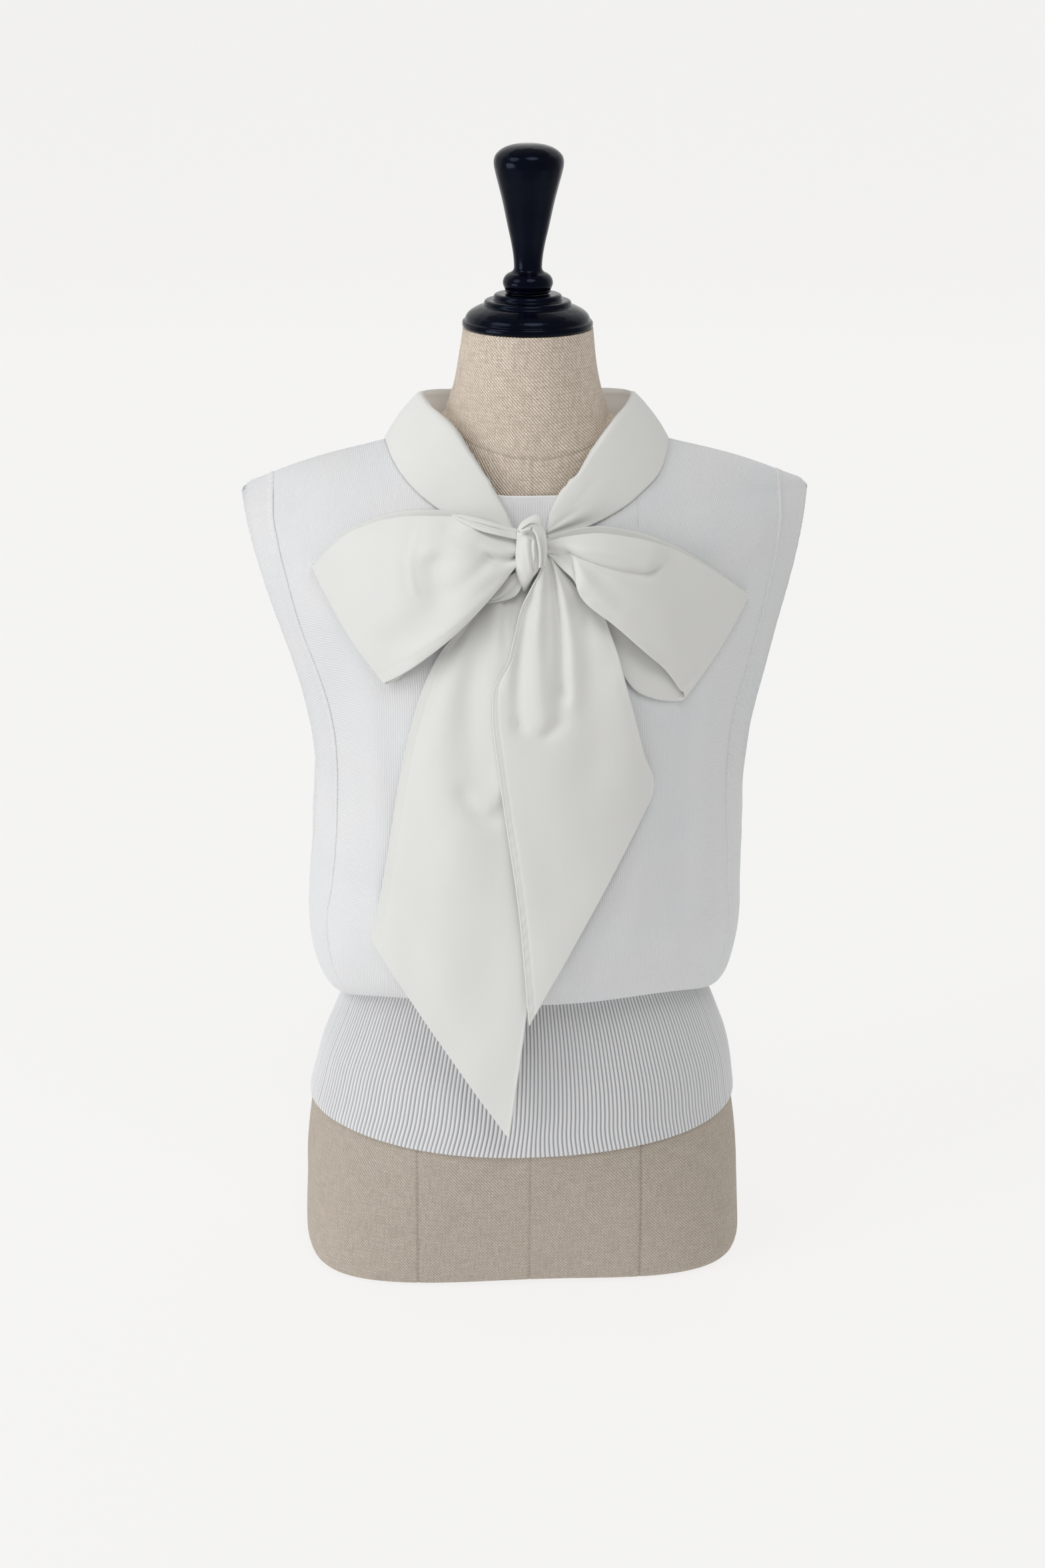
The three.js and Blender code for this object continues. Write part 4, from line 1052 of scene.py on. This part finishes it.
def collar_section(row, sign):
    """Points across the collar on one side: from its seam up the stand, over the fold and down the fall."""
    side, fx, fy, fz, sx, sz, sl, ex, ez, el, shift = row
    fold = np.array([fx, fy, fz], float)
    seam = over_knit(side, np.array(float(sx)), np.array(float(sz)), sl)
    edge = over_knit(side, np.array(float(ex)), np.array(float(ez)), el + 0.4)
    down = unit(edge - fold)
    inward = seam - fold
    inward = unit(inward - down * (inward @ down))
    near = lambda inside, below: fold + inward * inside + down * below
    stand_top = near(FOLD_WIDTH, 1.6)
    fall = lambda share: fold + (edge - fold) * share - inward * (7.0 * share * (1 - share))
    points = [
        seam, (stand_top + seam) / 2, stand_top, near(FOLD_WIDTH * 0.75, 0.1), near(FOLD_WIDTH * 0.35, -0.3),
        near(0, 1.2), fall(0.16), fall(0.4), fall(0.7), edge,
    ]
    ease = COLLAR_RIGHT * bell(fz, 640, 28) if sign > 0 and side == "front" else 0.0
    return [p * [sign, 1, 1] - [shift - ease, 0, 0] for p in points]


def collar():
    rows = [collar_section(row, 1) for row in COLLAR]
    rows += [collar_section(row, -1) for row in COLLAR[:-1][::-1]]
    stations = np.array(rows)
    along = np.linspace(0, 1, 300)
    lines = np.array([curve(stations[:, k], along) for k in range(stations.shape[1])])
    spaced = np.concatenate([
        np.linspace(0, 0.42, 9)[:-1], np.linspace(0.42, 0.58, 12)[:-1], np.linspace(0.58, 1, 22),
    ])
    grid = np.array([curve(lines[:, i], spaced) for i in range(len(along))])
    normal = normals_of(grid)
    centre = np.array([0, 0, 640.0])
    fall_part = smooth(spaced, 0.55, 0.7)[None]
    x, z = grid[..., 0], grid[..., 2]
    if (normal[:, -8:] * (grid[:, -8:] - centre)).sum() < 0:
        normal = -normal
    folds = creases(x, z, [
        (8, 603, 22, 607, 46, 616, 1.6, 4.5, 2.6, 0.0),
        (9, 600.5, 24, 603, 46, 609, 1.3, 4.0, -2.4, 0.0),
        (9, 598, 26, 600, 50, 604, 1.6, 4.0, 2.2, 0.3),
        (13, 605, 24, 612, 38, 624, 1.8, 4.0, -1.2, 0.0),
        (-16, 606, -26, 618, -40, 634, 2.4, 6, 1.1, 0.0),
        (-18, 600, -34, 604, -52, 612, 2.0, 5, -0.9, 0.0),
    ]) * (grid[..., 1] < -30)
    soft = 0.5 * waves(along[:, None] * 620, spaced[None] * 60, 70, 3) * (1 - bell(spaced, 0.5, 0.06))[None]
    grid = grid + normal * (fall_part * (folds + soft * 0.7) + (1 - fall_part) * soft * 0.5)[..., None]
    shape = Shape()
    shape.cloth(grid, WOVEN_WALL, normal)
    return shape.build("collar_cloth", "woven")


# ---------- the bow ----------
LOOP_COLUMNS = 64
LOOP_ROWS = 96
LOOP_BULGE = 4.5
TAIL_COLUMNS = 110
TAIL_ROWS = 240


def mean_chords(rows):
    """Shares of the length of two lines side by side, the mean of both."""
    return (chords(rows[:, :2]) + chords(rows[:, 2:4])) / 2


def loop_grid(rows, front_shape):
    """A loop of strip: out from the knot in front, round its end fold and back behind."""
    rows = np.array(rows, float)
    share = np.linspace(0, 1, LOOP_ROWS)[:, None]
    even = np.linspace(0, 1, LOOP_COLUMNS)
    t = (0.4 * even + 0.3 * (1 - np.cos(math.pi * even)))[None]
    across = t[..., None]
    lines = curve(rows, share[:, 0], mean_chords(rows))
    side = np.sign(rows[-1, 0])
    bulge = side * LOOP_BULGE * 4 * t * (1 - t) * share**6
    layers = []
    for at, lift, swing, shape_of in ((2, 6, 1.0, front_shape), (4, 7, 0.9, back_layer)):
        flat = lines[:, None, :2] * (1 - across) + lines[:, None, at:at + 2] * across
        x, z = flat[..., 0] + bulge * swing, flat[..., 1]
        layers.append(before(x, z, lines[:, lift:lift + 1] + shape_of(x, z, share, t)))
    first, second = layers
    # The end turns round between the layers.
    middle, half = (first[-1] + second[-1]) / 2, (first[-1] - second[-1]) / 2
    reach = np.linalg.norm(half, axis=-1, keepdims=True)
    out = np.array([side, 0, -0.25]) / 1.03
    angles = np.radians([35, 65, 90, 115, 145])
    turns = [middle + half * math.cos(a) + out * reach * math.sin(a) for a in angles]
    return np.concatenate([first, turns, second[::-1]])


LEFT_LOOP = [
    # top x z, low x z, behind x z, lift in front, lift behind
    (-13.5, 601.5, -13.5, 583, -13.5, 584, 16.5, 12),
    (-26, 609.5, -24, 571, -24, 571, 20, 9),
    (-43, 613.5, -39, 555, -39, 556, 23, 7),
    (-68, 614.5, -60, 534.5, -60, 537, 23, 5),
    (-97, 611, -78, 518, -77, 521, 18.5, 4),
    (-117, 604.5, -88, 509, -88, 511, 15, 3.6),
    (-135, 594.5, -97, 501.5, -95.5, 499.5, 10.5, 3.2),
    (-157, 571, -104.5, 495.5, -105.5, 492.3, 6.5, 3),
]
RIGHT_LOOP = [
    (7.5, 598, 8, 590.5, 7.5, 590, 16, 12),
    (13, 599.5, 16, 590.5, 11, 586, 19, 11),
    (21, 602, 24.6, 589.8, 16, 580, 22.5, 10),
    (33, 604, 27.4, 581, 22, 572, 25.5, 8),
    (48, 604.3, 28.8, 569, 31, 561, 26, 6),
    (68, 600.5, 34, 559.3, 41, 547, 23.5, 5),
    (88, 594, 56, 541, 54, 520, 19, 4),
    (108, 584, 78, 520.5, 70, 492.5, 14.5, 3.6),
    (133, 567.5, 95, 503.5, 88, 481.5, 10, 3.2),
    (159, 547, 107, 486, 105, 477, 6.5, 3),
]


def puff(high, s, t):
    return high * np.sin(math.pi * t) ** 0.8 * np.sin(math.pi * np.clip(s, 0, 1)) ** 0.8


def left_front(x, z, s, t):
    folds = creases(x, z, [
        (-62, 602, -72, 590, -70, 568, 9, 12, -3.0, -6.0, 1.1),
        (-83, 602, -92, 585, -86, 566, 1.8, 2.6, 0.5, 0.9),
        (-93, 604, -102, 584, -96, 558, 5, 8, 0.6, 1.4),
        (-42, 611, -60, 602, -74, 594, 3.5, 6.0, 1.6, 1.8),
        (-14, 586.5, -26, 580.5, -34, 590, 0.8, 1.8, -2.2, -1.0),
        (-13, 588, -24, 583, -40, 594, 1.6, 4.5, -3.8, -1.0),
        (-13, 593, -26, 592, -40, 600, 2.4, 6.0, 3.2, 0.8),
        (-13, 584, -24, 578, -40, 576, 2.4, 8.0, 3.4, 1.2),
        (-40, 592, -62, 596, -84, 588, 3.0, 6.0, 1.8, 1.0),
        (-34, 586, -62, 566, -94, 526, 4, 13, -2.0, -2.4),
        (-24, 573, -48, 552, -84, 522, 3.5, 6, 1.6, 1.8),
        (-44, 603, -60, 596, -70, 600, 5, 9, 1.0, 1.6),
        (-112, 590, -124, 560, -118, 524, 12, 16, 0.8, 1.6),
        (-100, 530, -112, 520, -124, 530, 7, 10, -0.8, -1.2),
    ])
    hem = -0.3 * bell(t, 0.935, 0.01) * smooth(s, 0.25, 0.5)
    return puff(7.5, s, t) + folds + hem + 0.35 * waves(x, z, 46, 51)


def right_front(x, z, s, t):
    folds = creases(x, z, [
        (10, 596.5, 46, 600, 80, 586, 2.6, 8.0, 2.6, 6.6, 1.4),
        (24, 592.5, 70, 572, 86, 576, 1.6, 4.0, -2.8, -3.6),
        (86, 576, 96, 578, 97, 588, 4.0, 5.0, -1.8, -0.6),
        (29, 584, 36, 570, 60, 548, 3.0, 9, 1.4, 1.2),
        (30, 588, 44, 578, 60, 560, 2.5, 8, -1.4, -0.8),
        (100, 572, 112, 556, 122, 530, 10, 16, -0.6, -1.6),
        (38, 557, 58, 539, 84, 513, 3, 5, 0.9, 1.4),
        (92, 540, 100, 524, 108, 510, 9, 9, 0.8, 1.2),
    ])
    return puff(7.0, s, t) + folds + 0.3 * waves(x, z, 42, 61)


def back_layer(x, z, s, t):
    return 0.8 * waves(x, z, 46, 71) * np.sin(math.pi * t) * np.sin(math.pi * s)


def loop(name, rows, front_shape, leaves):
    """A loop of the bow, with the small folds of cloth that go with it."""
    grid = loop_grid(rows, front_shape)
    normal = normals_of(grid)
    if normal[:LOOP_ROWS, :, 1].mean() > 0:
        normal = -normal
    shape = Shape()
    shape.cloth(grid, WOVEN_WALL, normal, box=(0, 0, 0.8, 1))
    for k, part in enumerate(leaves):
        shape.cloth(part, 1.0, facing(part, [0, -1, 0]), box=(0.8, 0.5 * k, 1, 0.5 * k + 0.5))
    return shape.build(name, "woven")


def ribbon(path, widths, cup, turn, rows=60, columns=17):
    """A strip along a path in space. turn is its width's direction at each point, and cup bends it across."""
    share = np.linspace(0, 1, rows)
    line = curve(path, share)
    width = np.interp(share, np.linspace(0, 1, len(widths)), widths)[:, None, None]
    ahead = unit(np.gradient(line, axis=0))
    normal = unit(np.cross(unit(curve(turn, share)), ahead))
    side = unit(np.cross(ahead, normal))
    t = np.linspace(-1, 1, columns)[None, :, None]
    return line[:, None] + side[:, None] * t * width / 2 + normal[:, None] * cup * (t**2)


LEFT_TAIL = [
    # left x z lift, right x z lift
    (-14, 573, 3, 0, 571, 3),
    (-41, 552, 3, 2, 556, 4),
    (-52, 537, 3, 3, 540, 4),
    (-67, 519, 3, 4, 512, 4),
    (-78, 497, 3, 5, 480, 4),
    (-89, 462, 3, 5, 440, 4),
    (-97, 425, 3, 3, 390, 4),
    (-103, 388, 3, 0, 330, 4),
    (-109, 350, 3, -4, 262, 4),
    (-120, 291, 3, -18, 141, 4),
]
RIGHT_TAIL = [
    (7.5, 592, 15, 9.5, 590, 14),
    (4, 580, 20, 17, 580, 16),
    (-3, 566, 18, 28, 567, 15),
    (-9.5, 553, 14, 36, 557, 12),
    (-15, 533, 12, 49, 545, 11),
    (-19, 517, 10.5, 54, 532, 10.5),
    (-30, 494, 9, 60, 515, 9),
    (-31, 480, 9, 63.5, 502, 9),
    (-27, 440, 9, 72, 472, 8.5),
    (-21, 396, 9, 80, 442, 8),
    (-13, 340, 9, 88, 417, 8),
    (-3.5, 238, 9, 86, 408, 8),
]


def left_tail_shape(x, z, s, t):
    swell = 5.5 * bell(t, 0.38, 0.3) * smooth(s, 0.02, 0.16) * (1 - smooth(s, 0.46, 0.78))
    folds = creases(x, z, [
        (-24, 560, -74, 500, -74, 410, 5, 14, 1.0, 2.0),
        (-36, 552, -52, 490, -44, 426, 7, 15, -3.6, -4.4),
        (-50, 414, -34, 384, -18, 414, 7, 7, -1.8, -2.0),
        (-8, 562, -18, 500, -20, 430, 4, 10, 1.4, 3.0),
        (-38, 550, -66, 520, -88, 440, 2.0, 6, -1.0, -0.8),
        (-20, 560, -24, 546, -22, 528, 1.4, 3, -1.4, -0.6),
        (-60, 380, -66, 330, -72, 276, 12, 18, 0.8, 1.8),
        (-28, 370, -34, 310, -34, 240, 12, 18, -0.6, -1.4),
        (-92, 300, -84, 262, -66, 222, 8, 14, -0.7, -0.9),
    ])
    hem = 0.35 * bell(np.minimum(t, 1 - t), 0, 0.012) - 0.22 * bell(t, 0.05, 0.012)
    pucker = 0.12 * np.sin(s * 150) * bell(t, 0, 0.03)
    return np.maximum(swell + folds, -2.6) + hem + pucker + 0.5 * waves(x, z, 56, 81)


def right_tail_shape(x, z, s, t):
    folds = creases(x, z, [
        (3, 585, -17, 530, -12, 470, 2.2, 6.0, -1.6, -2.0),
        (2, 588, -12, 545, -20, 500, 1.6, 5.5, 1.4, 1.4),
        (7, 586, -3, 530, 4, 478, 2.6, 9.5, 2.8, 3.2),
        (9.5, 588, 20, 540, 18, 492, 1.2, 5.0, -4.4, -3.4),
        (19, 492, 18, 474, 10, 465, 5.0, 5.0, -1.3, -1.2),
        (11, 587, 28, 548, 27, 488, 1.6, 7.0, 2.0, 1.6),
        (11.5, 588, 26, 570, 54, 540, 0.9, 5.0, -3.0, -0.8),
        (13, 589, 32, 572, 58, 548, 1.4, 4.5, 1.6, 0.6),
        (-11, 470, 2, 452, 18, 470, 5.0, 5.0, -1.1, -1.1),
        (36, 540, 42, 500, 40, 440, 5, 14, -1.0, -1.6),
        (60, 510, 66, 470, 70, 430, 7, 12, 0.8, 1.2),
        (-14, 400, -6, 340, 6, 290, 10, 14, 0.4, 1.0),
    ])
    hem = 0.45 * bell(t, 0, 0.010) - 0.3 * bell(t, 0.045, 0.012) + 0.25 * bell(t, 1, 0.02)
    pucker = 0.16 * np.sin(s * 190 + 2 * np.sin(s * 31)) * bell(t, 0, 0.05) * smooth(s, 0.45, 0.6)
    return np.maximum(folds, -5.0) + hem + pucker + 0.45 * waves(x, z, 50, 91)


def tail(name, rows, shape_of):
    """A tail of the bow between its two edges, with a height in front of the knit from shape_of."""
    rows = np.array(rows, float)
    share = np.linspace(0, 1, TAIL_ROWS)
    left, right = curve(rows[:, :3], share), curve(rows[:, 3:], share)
    even = np.linspace(0, 1, TAIL_COLUMNS)
    t = (0.5 * even + 0.25 * (1 - np.cos(math.pi * even)))[None]
    flat = left[:, None] * (1 - t[..., None]) + right[:, None] * t[..., None]
    x, z, lift = flat[..., 0], flat[..., 1], flat[..., 2]
    grid = before(x, z, lift + shape_of(x, z, share[:, None], t))
    shape = Shape()
    shape.wall(grid, WOVEN_WALL, stack(arc(grid, 1), arc(grid, 0), 0.0), np.array([0, -1, 0]))
    return shape.build(name, "woven")


KNOT = Table("z left right front back", [
    (562, -8.5, -5.5, 104, 102),
    (567, -10.5, -3.8, 110, 101),
    (573, -12.6, -1.6, 114.5, 100),
    (581, -14.3, 3.4, 117, 99),
    (591, -14.3, 5.2, 118.2, 98),
    (600, -13.6, 5.4, 117.6, 97),
    (607, -13.0, 5.2, 115, 96.5),
    (612, -10.0, 5.0, 110.5, 96.5),
    (615, -5, 4.2, 105.5, 97),
    (617, -0.5, 2.0, 101, 98.5),
])


WRAP_PATH = [
    (-11.8, -116, 609.4), (-7.4, -117.5, 612.2), (-2.6, -117, 613.4), (1.4, -117.5, 609.4),
    (3.3, -118.5, 602), (3.9, -119.5, 593.5), (3.4, -120, 586), (2.0, -119, 579.5),
]
WRAP_WIDTHS = [1.0, 3.8, 6.0, 6.4, 5.4, 4.6, 3.4, 1.8]
WRAP_TURNS = [
    (-0.35, 0.2, 1), (-0.3, 0.25, 1), (0.35, 0.35, 1), (1, 0.4, 0.5), (1, 0.35, 0.1), (1, 0.3, 0),
    (1, 0.3, 0), (1, 0.3, 0),
]


def knot():
    """The wound knot: a pleated core, and a band that wraps over its top and down its right side."""
    heights = np.linspace(562, 617, 110)
    turn = np.radians(np.linspace(0, 360, 140, endpoint=False))
    z = heights[:, None] + 0 * turn
    left, right, front, back = (KNOT(column, z) for column in ("left", "right", "front", "back"))
    x = (left + right) / 2 + (right - left) / 2 * np.sin(turn)
    y = -(front + back) / 2 - (front - back) / 2 * np.cos(turn)
    grid = stack(x, y, z)
    folds = creases(x, z, [
        (-9.5, 609, -10.8, 599, -10, 583, 2.2, 3.0, 1.4, 0.9),
        (-4.0, 602, -5.0, 594, -1.6, 580, 0.9, 0.8, -2.0, -1.3),
        (-6.9, 605, -7.0, 594, -4.2, 581, 1.5, 1.4, 0.9, 0.6),
        (-2.0, 601, -2.8, 595, -0.4, 586, 1.2, 0.9, 0.9, 0.5),
        (-0.4, 590, -0.8, 585, -1.6, 579, 0.7, 0.7, -1.3, -0.8),
        (-13, 590, -11, 584, -8.5, 576, 1.2, 2.0, -0.9, -0.3),
    ])
    out = grid - stack(-4, -104, z)
    grid = grid + outward(grid, out) * (folds * np.clip(np.cos(turn), 0, 1))[..., None]
    low, high = (np.repeat(ring.mean(0)[None], len(turn), 0)[None] for ring in (grid[0], grid[-1]))
    grid = np.concatenate([low, grid, high])
    shape = Shape()
    shape.skin(grid, stack(grid[..., 0], grid[..., 2], 0.0), box=(0.01, 0.01, 0.49, 0.99))
    band = ribbon(WRAP_PATH, WRAP_WIDTHS, -1.1, WRAP_TURNS)
    shape.cloth(band, 1.8, facing(band, [0, -1, 0]), box=(0.5, 0, 0.99, 0.5), edge=0.5)
    return shape.build("bow_knot_cloth", "woven", weld=0.004)


LEFT_LIP = [
    # low x z, top x z, lift low, lift top
    (-58.5, 615.6, -58.5, 616.2, 23.5, 23.5),
    (-48, 611, -49, 616, 27.5, 23.5),
    (-38, 607.6, -38, 614.2, 28.5, 24),
    (-26, 604.6, -26, 610.8, 27, 23.5),
    (-13, 600.6, -13, 606.6, 21, 19),
]
LEFT_STRAND = [
    (-13, 577, -8, 572, 13, 13),
    (-20, 572, -12, 563, 11, 12),
    (-28, 562, -18, 558, 8, 9),
    (-36, 554.5, -33, 554, 6, 6),
]
RIGHT_GUSSET = [
    (8, 589.8, 7.5, 592, 14.5, 15),
    (14, 584.5, 15, 592, 16, 18),
    (20, 579, 21, 591.5, 18, 20.5),
    (25.5, 574.5, 26.5, 590, 20, 22.5),
    (29.6, 568, 29.2, 580, 21.5, 23),
]


def leaf(rows, crease, columns=14, length=48):
    """A small fold of cloth between two lines in front of the knit."""
    rows = np.array(rows, float)
    share = np.linspace(0, 1, length)
    lines = curve(rows, share, mean_chords(rows))
    t = np.linspace(0, 1, columns)[None]
    x, z, lift = (lines[:, a:a + 1] * (1 - t) + lines[:, b:b + 1] * t for a, b in ((0, 2), (1, 3), (4, 5)))
    wave = crease * (np.sin(math.pi * t) - 1.6 * bell(t, 0.55, 0.12)) * np.sin(math.pi * share[:, None])
    return before(x, z, lift + wave)


# ---------- build ----------
form_torso()
turned("form_cap_lacquer", CAP)
turned("form_finial_lacquer", FINIAL)
front = body_panel("knit_front_cloth", "front", FRONT_FOLDS, 21)
back = body_panel("knit_back_cloth", "back", BACK_FOLDS, 24)
band_left = armband("armband_left_cloth", -1.0)
band_right = armband("armband_right_cloth", 1.0)
rib = waist_rib()
neck_rib = neckband()
collar_piece = collar()
left_leaves = [leaf(LEFT_LIP, 1.2), leaf(LEFT_STRAND, 0.8)]
loop_left = loop("bow_loop_left_cloth", LEFT_LOOP, left_front, left_leaves)
loop_right = loop("bow_loop_right_cloth", RIGHT_LOOP, right_front, [leaf(RIGHT_GUSSET, 0.7)])
tail_left = tail("bow_tail_left_cloth", LEFT_TAIL, left_tail_shape)
tail_right = tail("bow_tail_right_cloth", RIGHT_TAIL, right_tail_shape)
knot_piece = knot()

# ---------- light and floor ----------
scene = bpy.context.scene
scene.view_settings.view_transform = "Standard"


LAMPS = [
    # name, place, power, colour
    ("key", (-2.0, -1.0, 2.4), 18, (0.98, 0.99, 1.0)),
    ("top", (0.3, -1.5, 2.9), 22, (1.0, 0.998, 0.99)),
    ("side", (-2.75, -1.2, 0.4), 27, (0.97, 0.985, 1.0)),
]
LAMP_AIM = Vector((0, 0, 0.42))
LAMP_SIZE = 1.5
SKY_COLOUR = (0.98, 0.99, 1.0, 1)
SKY_STRENGTH = 0.29

for name, place, power, colour in LAMPS:
    data = bpy.data.lights.new(name, "AREA")
    data.shape, data.size, data.energy, data.color = "DISK", LAMP_SIZE, power, colour
    lamp = bpy.data.objects.new(name, data)
    lamp.location = place
    lamp.rotation_mode = "QUATERNION"
    lamp.rotation_quaternion = (LAMP_AIM - Vector(place)).to_track_quat("-Z", "Y")
    lamp.visible_camera = False
    scene.collection.objects.link(lamp)
world = bpy.data.worlds.new("world")
scene.world = world
world.use_nodes = True
sky = world.node_tree.nodes["Background"]
sky.inputs[0].default_value = SKY_COLOUR
sky.inputs[1].default_value = SKY_STRENGTH

FLOOR_RADII = [0.001, 0.5, 0.9, 1.2, 1.5, 1.8, 2.2, 2.7, 3.3, 4.0]
FLOOR_BEND = 1.5
WALL_TOP = 7.0
FLOOR_COLUMNS = 96
FLOOR_COLOUR = (0.10, 0.10, 0.10, 1)
FLOOR_GLOW_COLOUR = (0.992, 0.985, 0.978, 1)
FLOOR_GLOW = 0.82
FLOOR_GLOW_AROUND = 0.36


def backdrop():
    """A round pale floor that curves up into a wall all round. It glows most where the camera sees it."""
    bend = np.linspace(0, math.pi / 2, 20)[1:]
    flat = FLOOR_RADII[-1]
    radius = np.concatenate([FLOOR_RADII, flat + FLOOR_BEND * np.sin(bend), [flat + FLOOR_BEND]])[:, None]
    height = np.concatenate([[0.0] * len(FLOOR_RADII), FLOOR_BEND * (1 - np.cos(bend)), [WALL_TOP]])[:, None]
    turn = 2 * math.pi * np.arange(FLOOR_COLUMNS) / FLOOR_COLUMNS
    x, y, z = (a.ravel() for a in np.broadcast_arrays(radius * np.sin(turn), radius * np.cos(turn), height))
    index = np.arange(len(x)).reshape(-1, FLOOR_COLUMNS)
    index = np.concatenate([index, index[:, :1]], 1)
    quads = np.stack([index[:-1, :-1], index[:-1, 1:], index[1:, 1:], index[1:, :-1]], -1).reshape(-1, 4)
    mesh = bpy.data.meshes.new("floor")
    mesh.from_pydata(np.stack([x, y, z], -1).tolist(), [], quads.tolist())
    mesh.polygons.foreach_set("use_smooth", [True] * len(quads))
    near = smooth(y, -1.5, -0.9) * np.maximum(1 - smooth(np.abs(x), 1.0, 2.0), smooth(y, 0.9, 2.2))
    values = FLOOR_GLOW_AROUND + (FLOOR_GLOW - FLOOR_GLOW_AROUND) * near
    glow = mesh.attributes.new("glow", "FLOAT", "POINT")
    glow.data.foreach_set("value", values.astype(np.float32))
    material = bpy.data.materials.new("floor")
    material.use_nodes = True
    shader = material.node_tree.nodes["Principled BSDF"]
    shader.inputs["Base Color"].default_value = FLOOR_COLOUR
    shader.inputs["Roughness"].default_value = 1.0
    shader.inputs["Emission Color"].default_value = FLOOR_GLOW_COLOUR
    strength = material.node_tree.nodes.new("ShaderNodeAttribute")
    strength.attribute_name = "glow"
    material.node_tree.links.new(strength.outputs["Fac"], shader.inputs["Emission Strength"])
    mesh.materials.append(material)
    floor = bpy.data.objects.new("floor", mesh)
    scene.collection.objects.link(floor)


backdrop()
